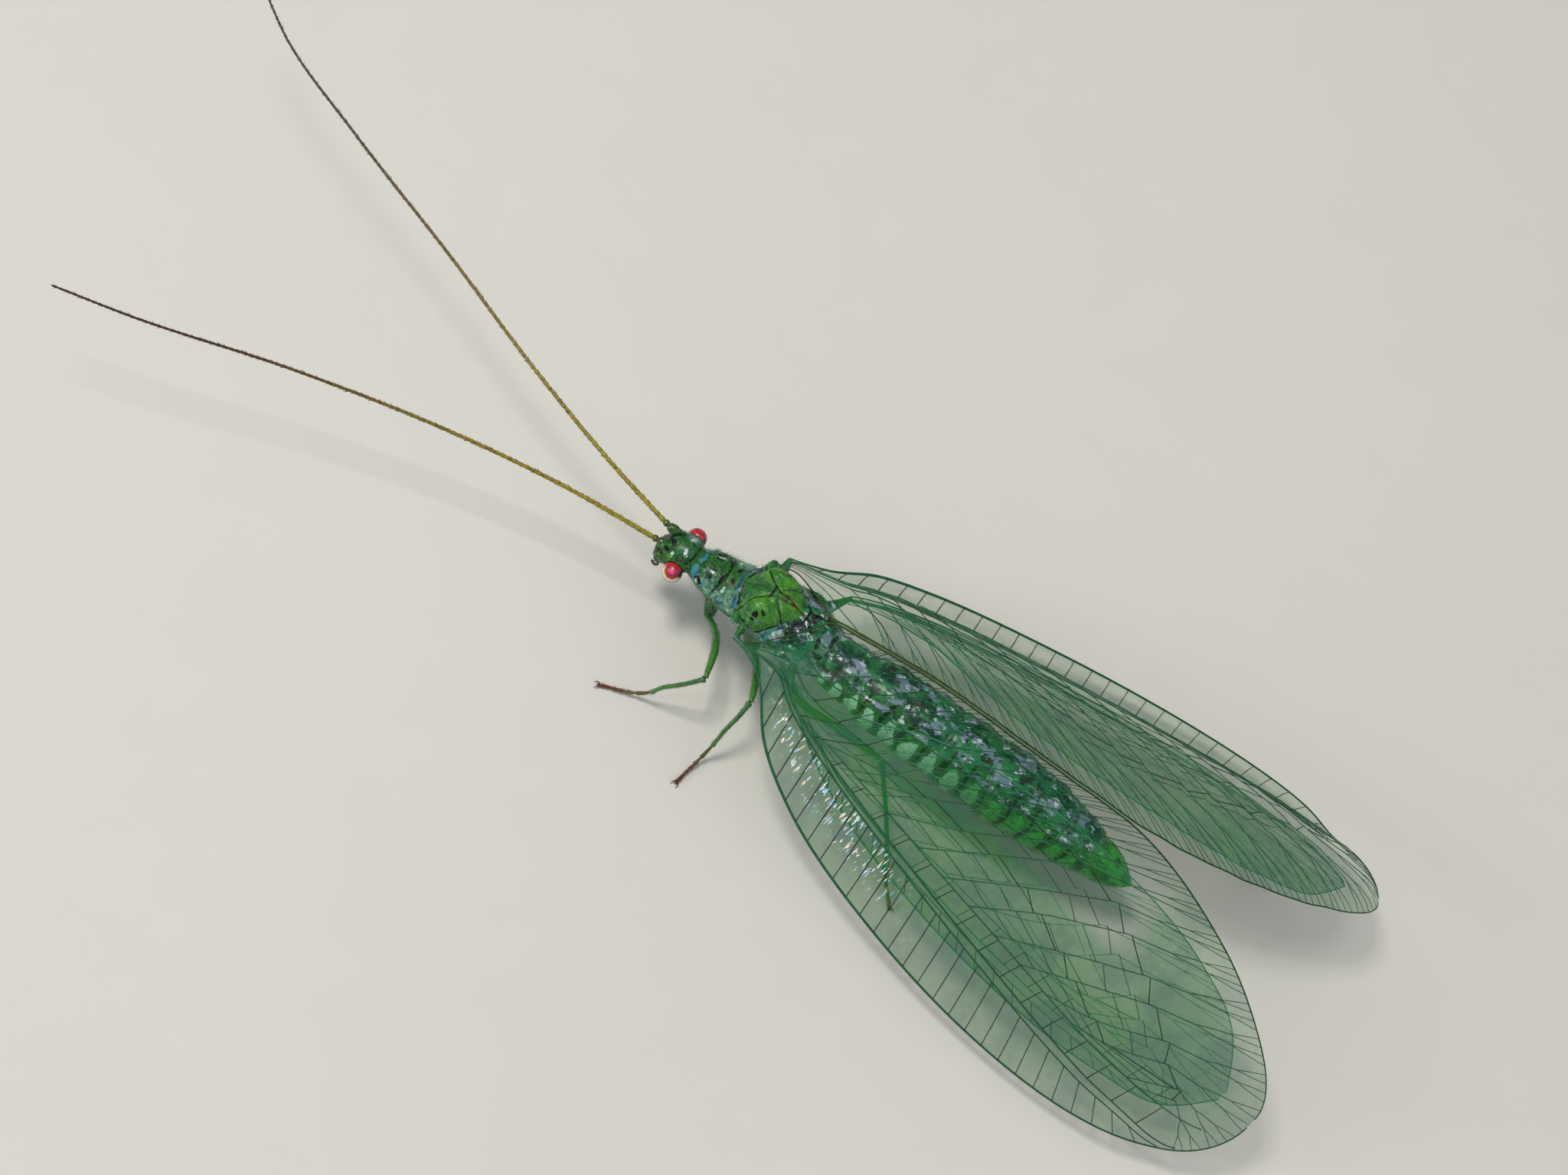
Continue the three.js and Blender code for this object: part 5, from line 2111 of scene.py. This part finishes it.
    def build_net(self, palette: Palette, rng: np.random.Generator) -> None:
        """Builds the veins as tubes, with their setae.

        Args:
            palette: the finishes.
            rng: the source of chance.
        """
        net, hairs = Shape(), Shape()
        for path, gauge in self.veins:
            share, across = self.from_flat(path)
            centre = self.point(share, across)
            thin, reach = self.vein_taper
            taper = thin + (1 - thin) * smoothstep(0.0, reach, share - self.outline.stations[0])
            radii = np.linspace(gauge.start, gauge.end, len(centre)) * self.weight * taper
            look = gauge.look if self.weight == 1 or gauge.look is VeinLook.DARK else VeinLook.HINDWING
            spots = np.stack([share, across], axis=1)

            def on_map(places: np.ndarray, spots: np.ndarray = spots) -> np.ndarray:
                """Map places of a vein beside its path.

                Args:
                    places: pairs of way along and angle.
                    spots: the path's own map places.

                Returns:
                    Two numbers from 0 to 1 for each.
                """
                near = read_rows(places[:, 0] * (len(spots) - 1), np.arange(len(spots)), spots)
                near[:, 1] += (places[:, 1] - 0.5) * 0.004
                return np.clip(near, 0.001, 0.999)

            add_tube(net, centre, radii, 8 if gauge.start > 0.02 else 5, look.value, unwrap=on_map)
            self.add_hairs(hairs, centre, spots, rng)
        veins = net.build(f"{self.name}_veins", palette.veins)
        setae = hairs.build(f"{self.name}_setae", [palette.dark_bristle])

    def add_hairs(
        self, shape: Shape, centre: np.ndarray, spots: np.ndarray, rng: np.random.Generator
    ) -> None:
        """Adds short dark setae along one vein, shorter on the wing's edge.

        Args:
            shape: where they go.
            centre: the vein's centre points.
            spots: their shares of the length and of the way across.
            rng: the source of chance.
        """
        count = max(1, int(float(path_steps(centre).sum()) / self.hair_gap))
        at = np.sort(rng.uniform(0, len(centre) - 1, count))
        rows = np.arange(len(centre))
        roots, places = read_rows(at, rows, centre), read_rows(at, rows, spots)
        outward = self.frame_at(places[:, 0])[2] * np.array([self.side, 1, 1])
        ahead = unit(read_rows(at, rows, np.gradient(centre, axis=0)))
        sideways = np.cross(ahead, outward) * rng.choice([-1.0, 1.0], count)[:, None]
        directions = unit(outward * 0.8 + sideways * 0.55 + ahead * 0.5 + rng.normal(0, 0.15, roots.shape))
        lengths = rng.uniform(*self.hair_length, count)
        on_edge = np.abs(places[:, 1] - 0.5) > 0.496
        lengths = np.where(on_edge, lengths * 0.7, lengths)
        add_setae(shape, roots, directions, lengths, places, ahead * 0.3)


@dataclass
class Eye:
    """One compound eye: a smooth dome of fine facets sunk in its socket."""

    side_name: str
    radii: Point = (0.185, 0.19, 0.21)
    rings: int = 40
    sectors: int = 56
    # colour of each eye's painted highlight at its heart
    heart_highlights: dict[str, str] = field(default_factory=lambda: {"left": "e8559f", "right": "c9263f"})

    def build(self, palette: Palette) -> bpy.types.Object:
        """Builds and dresses the eye.

        Args:
            palette: the finishes.

        Returns:
            The eye's object.
        """
        side = SIDES[self.side_name]
        centre = np.array(FRAME.eye) * np.array([side, 1, 1])
        polar = np.linspace(0, math.pi, self.rings + 1)[:, None]
        round_ = np.linspace(0, 2 * math.pi, self.sectors, endpoint=False)[None]
        ring = np.sin(polar)
        ball = np.stack([np.cos(polar) + 0 * round_, ring * np.cos(round_), ring * np.sin(round_)], axis=-1)
        points = centre + ball.reshape(-1, 3) * np.array(self.radii)
        rings, sectors = np.linspace(0, 1, self.rings + 1), np.linspace(0, 1, self.sectors)
        spots = np.stack([np.repeat(rings, self.sectors), np.tile(sectors, self.rings + 1)], axis=1)
        shape = Shape()
        shape.add(points, ring_quads(self.rings, self.sectors), spots)
        finish = Lens(
            f"eye_facets_{self.side_name}",
            roughness=0.2,
            metallic=0.15,
            coat=0.8,
            coat_roughness=0.06,
            centre=tuple(FRAME.metres(centre)),
            # the main camera's direction, mirrored for the right eye, and the side of the painted rim light
            cap=(0.503 * side, 0.0, 0.864),
            rim_light_side=(0.86 * side, 0.095, -0.5),
            heart_highlight=self.heart_highlights[self.side_name],
        ).make(palette.effects)
        piece = shape.build(f"compound_eye_{self.side_name}", [finish])
        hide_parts(f"eye_{self.side_name}")
        return piece


@dataclass
class Feeler:
    """One feeler: two stout base joints and a whip of many short rings with setae."""

    side_name: str
    path: tuple[Point, ...]
    base_start: Point = (0.17, -0.29, 1.915)
    base_end: Point = (0.2, -0.55, 1.93)
    rings: int = 96
    ring_swell: tuple[float, ...] = (0.84, 0.98, 1.06, 1.02)
    end_swell: float = 0.6
    root_radius: float = 0.046
    tip_radius: float = 0.02
    setae_per_ring: int = 9
    seta_radius: float = 0.0035
    seta_length: tuple[float, float] = (0.04, 0.07)

    def build(self, palette: Palette, rng: np.random.Generator) -> None:
        """Builds and dresses base, whip and setae.

        Args:
            palette: the finishes.
            rng: the source of chance.
        """
        mirror = np.array([SIDES[self.side_name], 1, 1])
        start, end = np.array(self.base_start) * mirror, np.array(self.base_end) * mirror
        self.build_base(start, end, palette)
        steps = len(self.ring_swell)
        points = smooth_path([tuple(end), *self.path], self.rings * steps + 1)
        place = np.linspace(0, 1, len(points))
        swell = np.append(np.tile(self.ring_swell, self.rings), self.end_swell)
        widths = (self.root_radius + (self.tip_radius - self.root_radius) * place**0.7) * swell
        whip = Shape()
        add_tube(whip, points, widths, 10)
        piece = whip.build(f"feeler_{self.side_name}", [palette.feeler])
        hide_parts(f"antenna_{self.side_name}")
        at, roots, ahead, turn = scatter(points, widths, self.rings * self.setae_per_ring, 0.9, rng)
        hairs = Shape()
        directions = unit(turn * 0.7 + ahead * 0.8)
        spots = random_spots(at, len(points), rng)
        lengths = rng.uniform(*self.seta_length, len(at))
        add_setae(hairs, roots, directions, lengths, spots, ahead * 0.3, radius=self.seta_radius)
        setae = hairs.build(f"feeler_setae_{self.side_name}", [palette.dark_bristle])

    def build_base(self, start: np.ndarray, end: np.ndarray, palette: Palette) -> None:
        """Builds the two stout base joints.

        Args:
            start: their root.
            end: where the whip begins.
            palette: the finishes.
        """
        share = np.linspace(0, 1, 22)
        first = 0.078 + 0.022 * np.sin(math.pi * np.clip(share / 0.62, 0, 1)) - 0.015 * share
        second = 0.056 + 0.012 * np.sin(math.pi * np.clip((share - 0.66) / 0.34, 0, 1))
        neck = (share > 0.6) & (share < 0.68)
        radii = np.where(neck, 0.05, np.where(share > 0.66, second, first))
        base = Shape()
        add_tube(base, start + (end - start) * share[:, None], radii, 16)
        stem = base.build(f"feeler_base_{self.side_name}", [palette.feeler_base])
        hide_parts(f"antenna_base_{self.side_name}")


@dataclass(frozen=True)
class LegPath:
    """Bends of a leg, with x counted away from the middle; the foot goes on from the tibia's end."""

    name: str
    femur: tuple[Point, ...]
    tibia: tuple[Point, ...]
    foot: tuple[Point, ...]


LEG_PATHS = {
    "left": (
        LegPath(
            "fore",
            ((0.35, 1.03, 1.0), (0.5, 1.24, 1.08), (1.0, 1.5, 1.34), (1.62, 1.67, 1.39)),
            ((1.66, 1.67, 1.36), (1.8, 1.42, 1.02), (1.94, 1.1, 0.6), (1.97, 1.04, 0.42)),
            ((2.03, 0.86, 0.2), (2.12, 0.62, 0.1), (2.2, 0.4, 0.07), (2.28, 0.2, 0.06)),
        ),
        LegPath(
            "mid",
            ((0.37, 2.06, 0.96), (0.5, 2.2, 1.0), (0.95, 2.42, 1.2), (1.42, 2.58, 1.26)),
            ((1.46, 2.58, 1.24), (1.68, 2.56, 1.08), (1.98, 2.5, 0.78), (2.16, 2.48, 0.44)),
            ((2.34, 2.44, 0.2), (2.55, 2.4, 0.1), (2.76, 2.36, 0.07), (2.96, 2.33, 0.06)),
        ),
        LegPath(
            "hind",
            ((0.38, 2.88, 0.92), (0.58, 3.08, 0.94), (0.7, 4.1, 0.99), (0.74, 5.08, 1.05)),
            ((0.76, 5.14, 1.03), (1.36, 5.72, 0.7), (1.7, 6.02, 0.5), (1.9, 6.18, 0.38)),
            ((1.99, 6.27, 0.18), (2.15, 6.41, 0.1), (2.35, 6.58, 0.07), (2.56, 6.76, 0.06)),
        ),
    ),
    "right": (
        LegPath(
            "fore",
            ((0.35, 1.03, 1.0), (0.5, 1.24, 1.08), (0.8, 1.46, 1.18), (0.98, 1.86, 1.22)),
            ((1.0, 1.88, 1.18), (1.12, 1.62, 0.95), (1.2, 1.2, 0.6), (1.22, 1.04, 0.42)),
            ((1.23, 0.88, 0.2), (1.24, 0.62, 0.1), (1.25, 0.36, 0.07), (1.26, 0.12, 0.06)),
        ),
        LegPath(
            "mid",
            ((0.37, 2.06, 0.96), (0.52, 2.24, 1.0), (0.84, 2.52, 1.1), (0.98, 2.94, 1.14)),
            ((1.0, 2.98, 1.12), (1.16, 2.9, 0.95), (1.32, 2.66, 0.7), (1.37, 2.52, 0.44)),
            ((1.39, 2.36, 0.2), (1.42, 2.14, 0.1), (1.45, 1.92, 0.07), (1.48, 1.72, 0.06)),
        ),
        LegPath(
            "hind",
            ((0.38, 2.88, 0.92), (0.5, 3.14, 0.94), (0.8, 4.2, 0.98), (1.04, 5.3, 0.98)),
            ((1.06, 5.34, 0.97), (1.02, 6.2, 0.82), (1.02, 7.1, 0.6), (1.1, 7.95, 0.36)),
            ((1.11, 8.2, 0.18), (1.13, 8.5, 0.1), (1.15, 8.8, 0.07), (1.16, 9.06, 0.06)),
        ),
    ),
}


@dataclass
class Leg:
    """One leg: femur, tibia with spurs, five foot joints, claws and pad, with short setae."""

    path: LegPath
    side_name: str
    femur_radius: float = 0.068
    tibia_radius: float = 0.044
    foot_radius: float = 0.038
    femur_steps: int = 30
    tibia_steps: int = 36
    foot_steps: int = 61
    foot_joints: tuple[float, ...] = (0, 0.36, 0.53, 0.67, 0.78, 1.0)
    pad_radii: tuple[float, ...] = (0.02, 0.028, 0.03, 0.03, 0.026, 0.012)
    pad_drop: float = 0.028
    spur_length: float = 0.13
    point_radius: float = 0.003
    hair_gap: float = 0.012
    floor_gap: float = 0.006

    def build(self, palette: Palette, rng: np.random.Generator) -> None:
        """Builds and dresses the leg.

        Args:
            palette: the finishes.
            rng: the source of chance.
        """
        mirror = np.array([SIDES[self.side_name], 1, 1])
        femur = smooth_path(np.array(self.path.femur) * mirror, self.femur_steps)
        tibia = smooth_path(np.array(self.path.tibia) * mirror, self.tibia_steps)
        foot = smooth_path(np.array((self.path.tibia[-1], *self.path.foot)) * mirror, self.foot_steps)
        u = np.linspace(0, 1, self.femur_steps)
        thigh = self.femur_radius * (0.72 + 0.42 * np.sin(math.pi * np.clip(u * 1.05, 0, 1)) ** 0.8)
        limb = Shape()
        add_tube(limb, femur, thigh, 14)
        v = np.linspace(0, 1, self.tibia_steps)
        shin = self.tibia_radius * (1.05 - 0.2 * v + 0.35 * bell(v, 0.0, 0.06) + 0.25 * smoothstep(0.9, 1, v))
        add_tube(limb, tibia, shin, 12)
        for spin in (-1, 1):
            aim = unit(tibia[-1] - tibia[-4] + np.array([spin * 0.05, spin * 0.02, -0.02]))
            spur = tibia[-2] + aim * np.linspace(0, self.spur_length, 6)[:, None]
            add_tube(limb, spur, np.linspace(0.014, self.point_radius, 6), 6)
        leg = limb.build(f"{self.path.name}_leg_{self.side_name}", [palette.leg])
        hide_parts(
            f"{self.path.name}_femur_{self.side_name}", f"{self.path.name}_tibia_{self.side_name}"
        )
        self.build_foot(foot, palette)
        hairs = Shape()
        ankle = np.full(self.foot_steps, 0.04)
        for line, widths, length in ((femur, thigh, 0.07), (tibia, shin, 0.075), (foot, ankle, 0.05)):
            self.add_hairs(hairs, line, widths, length, rng)
        setae = hairs.build(f"{self.path.name}_leg_setae_{self.side_name}", [palette.dark_bristle])

    def build_foot(self, foot: np.ndarray, palette: Palette) -> None:
        """Builds the five foot joints, the pad and the pair of claws.

        Args:
            foot: the foot's centre points.
            palette: the finishes.
        """
        w = np.linspace(0, 1, self.foot_steps)
        widths = np.zeros(self.foot_steps)
        for start, end in zip(self.foot_joints, self.foot_joints[1:]):
            inside = (w >= start) & (w <= end)
            q = (w[inside] - start) / (end - start)
            widths[inside] = self.foot_radius * (0.62 + 0.42 * q) * np.where(q > 0.94, 0.72, 1.0)
        shape = Shape()
        add_tube(shape, foot, widths, 12)
        ahead = unit(foot[-1] - foot[-6])
        ahead[2] = 0
        side = np.cross(ahead, [0, 0, 1.0])
        tip = foot[-1]
        pad = tip + ahead * np.linspace(-0.01, 0.07, 6)[:, None] + np.array([0, 0, -self.pad_drop])
        add_tube(shape, pad, np.array(self.pad_radii), 10, flatten=0.7)
        for spin in (-1, 1):
            s = np.linspace(0, 1, 9)[:, None]
            claw = tip + ahead * (0.02 + 0.1 * s) + side * spin * (0.02 + 0.04 * np.sin(s * 2.2))
            claw = claw + np.array([0, 0, 1.0]) * (0.01 - 0.062 * s**2)
            add_tube(shape, claw, np.linspace(0.016, self.point_radius, 9), 7, finish=1)
        piece = shape.build(f"{self.path.name}_foot_{self.side_name}", [palette.foot, palette.claw])
        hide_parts(f"{self.path.name}_tarsus_{self.side_name}")

    def add_hairs(
        self, shape: Shape, line: np.ndarray, widths: np.ndarray, length: float, rng: np.random.Generator
    ) -> None:
        """Adds setae round one stretch of the leg, leaning to its end and clear of the floor.

        Args:
            shape: where they go.
            line: the stretch's centre points.
            widths: its radius at each.
            length: usual length of a seta.
            rng: the source of chance.
        """
        count = int(float(path_steps(line).sum()) / self.hair_gap)
        at, roots, ahead, turn = scatter(line, widths, count, 0.95, rng)
        directions = unit(turn * 0.6 + ahead * 0.8)
        reach = rng.uniform(0.6, 1.2, count) * length
        keep = (roots + directions * reach[:, None])[:, 2] > self.floor_gap
        spots = random_spots(at, len(line), rng)
        add_setae(shape, roots[keep], directions[keep], reach[keep], spots[keep], ahead[keep] * 0.3)


@dataclass
class Mouth:
    """Mouthparts under the face: upper lip, jaws and two pairs of jointed palps."""

    lip: Point = (0.0, -0.37, 1.2)
    palp_steps: int = 33
    palp_joints: int = 4
    palps: tuple[tuple[tuple[Point, ...], float], ...] = (
        (((0.12, -0.26, 1.22), (0.15, -0.24, 1.1), (0.13, -0.3, 1.03), (0.09, -0.36, 1.02)), 0.028),
        (((0.05, -0.24, 1.2), (0.06, -0.22, 1.09), (0.05, -0.27, 1.02), (0.03, -0.32, 1.0)), 0.022),
    )

    def build(self, palette: Palette) -> bpy.types.Object:
        """Builds and dresses the mouthparts.

        Args:
            palette: the finishes.

        Returns:
            Their object.
        """
        shape = Shape()
        s = np.linspace(0, 1, 14)
        lip = np.array(self.lip) + np.stack([0 * s, -0.02 * np.sin(s * 3), 0.09 - 0.17 * s], axis=1)
        add_tube(shape, lip, 0.1 * (1 - 0.55 * s**2), 16, flatten=0.5)
        for side in (-1, 1):
            jaw = np.stack([side * (0.12 - 0.09 * s), -0.32 - 0.03 * s, 1.24 - 0.19 * s], axis=1)
            add_tube(shape, jaw, 0.05 - 0.035 * s, 10)
            for joints, radius in self.palps:
                path = smooth_path(np.array(joints) * np.array([side, 1, 1]), self.palp_steps)
                q = (np.linspace(0, 1, self.palp_steps) * self.palp_joints) % 1
                add_tube(shape, path, radius * (0.78 + 0.3 * np.sin(math.pi * q)), 10)
        piece = shape.build("mouth_and_palps", [palette.mouth])
        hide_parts("mouthparts")
        return piece


@dataclass(frozen=True)
class Lamp:
    """One soft square light that faces the insect."""

    name: str
    away: Point
    power: float
    size: float
    colour: str
    distance: float = 0.15
    aim: Point = (0.0, 4.0, 1.5)

    def build(self) -> None:
        """Adds the light."""
        data = bpy.data.lights.new(self.name, "AREA")
        data.energy, data.size = self.power, self.size
        data.color = srgb(self.colour)[:3]
        lamp = bpy.data.objects.new(self.name, data)
        direction = Vector(self.away).normalized()
        lamp.location = Vector(FRAME.metres(np.array(self.aim))) + direction * self.distance
        lamp.rotation_mode = "QUATERNION"
        lamp.rotation_quaternion = direction.to_track_quat("Z", "Y")
        bpy.context.scene.collection.objects.link(lamp)


@dataclass
class Stage:
    """Floor, soft lights and the camera of the main view."""

    tilt: float = math.radians(30.2)
    heading: float = math.radians(144.7)
    distance: float = 71.7
    target: Point = (-0.4603, 1.8844, 2.0179)
    lens: float = 91.5
    sensor: float = 36.0
    clip: tuple[float, float] = (0.002, 10.0)
    floor_half: float = 1.5
    surround: str = "eef2f4"
    surround_strength: float = 0.45
    exposure: float = -0.3
    lamps: tuple[Lamp, ...] = (
        Lamp("key_light", (0.12, -0.4, 1.0), 0.15, 0.035, "fff8ee"),
        Lamp("side_light", (0.75, -0.85, 0.5), 0.05, 0.03, "f2f8ff"),
        Lamp("fill_light", (0.1, 1.0, 0.8), 0.04, 0.16, "f4faff"),
    )

    def build(self, palette: Palette) -> None:
        """Builds floor, lights and camera.

        Args:
            palette: the finishes.
        """
        self.build_floor(palette)
        for lamp in self.lamps:
            lamp.build()
        world = bpy.data.worlds.new("soft_surround")
        world.use_nodes = True
        background = world.node_tree.nodes["Background"]
        background.inputs["Color"].default_value = srgb(self.surround)
        background.inputs["Strength"].default_value = self.surround_strength
        bpy.context.scene.world = world
        view = bpy.context.scene.view_settings
        view.view_transform, view.look, view.exposure = "Standard", "None", self.exposure
        self.add_camera()

    def build_floor(self, palette: Palette) -> None:
        """Lays the pale floor under the feet.

        Args:
            palette: the finishes.
        """
        h = self.floor_half
        mesh = bpy.data.meshes.new("floor")
        mesh.from_pydata([(-h, -h, 0), (h, -h, 0), (h, h, 0), (-h, h, 0)], [], [(0, 1, 2, 3)])
        mesh.materials.append(palette.floor)
        floor = bpy.data.objects.new("floor", mesh)
        bpy.context.scene.collection.objects.link(floor)

    def add_camera(self) -> None:
        """Sets the camera at the photograph's viewing angle and framing."""
        back = Vector((math.sin(self.tilt), 0, math.cos(self.tilt)))
        left = Vector((math.cos(self.tilt), 0, -math.sin(self.tilt)))
        ahead = Vector((0, -1, 0))
        sin_h, cos_h = math.sin(self.heading), math.cos(self.heading)
        right = ahead * cos_h - left * sin_h
        up = left * cos_h + ahead * sin_h
        data = bpy.data.cameras.new("main_camera")
        data.lens, data.sensor_width = self.lens, self.sensor
        data.clip_start, data.clip_end = self.clip
        camera = bpy.data.objects.new("main_camera", data)
        turn = Matrix((right, up, back)).transposed().to_4x4()
        place = Vector(self.target) + back * self.distance
        camera.matrix_world = Matrix.Translation(Vector(FRAME.metres(np.array(place)))) @ turn
        bpy.context.scene.collection.objects.link(camera)
        bpy.context.scene.camera = camera


FEELER_PATHS = {
    "left": ((0.4, -2.1, 1.99), (0.92, -4.45, 2.12), (1.87, -7.42, 2.3), (2.96, -10.2, 2.46),
             (3.4, -11.55, 2.55)),
    "right": ((-0.46, -1.7, 1.97), (-1.09, -3.95, 2.09), (-1.95, -6.5, 2.24), (-2.82, -9.27, 2.4),
              (-3.58, -11.35, 2.52), (-4.18, -12.3, 2.57)),
}


def main() -> None:
    """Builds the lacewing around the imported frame."""
    logging.basicConfig(level=logging.INFO, format="%(name)s: %(message)s")
    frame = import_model()
    FRAME.find()
    rng = np.random.default_rng(SEED)
    palette = Palette(Effects())
    Stage().build(palette)
    skin = BodySkin()
    skin.build(frame, palette)
    skin.coat(palette, rng)
    for side_name, side in SIDES.items():
        Eye(side_name).build(palette)
        Feeler(side_name, FEELER_PATHS[side_name]).build(palette, rng)
        # painted glints full on the left wing, a trace on the right
        sheen, clearing = (1.0, 1.0) if side > 0 else (0.1, 0.3)
        for name, outline, plan, depth, shine, weight, valley in (
            ("forewing", FOREWING_OUTLINE, FOREWING_PLAN, 0.0, sheen, 1.0, 0.19),
            ("hindwing", HINDWING_OUTLINE, HINDWING_PLAN, 0.34, 0.0, 0.72, 0.08),
        ):
            wing = Wing(f"{name}_{side_name}", side, outline, plan, depth, shine, weight, clearing, valley)
            wing.build(palette, rng)
        for path in LEG_PATHS[side_name]:
            Leg(path, side_name).build(palette, rng)
    Mouth().build(palette)


if __name__ == "__main__":
    main()
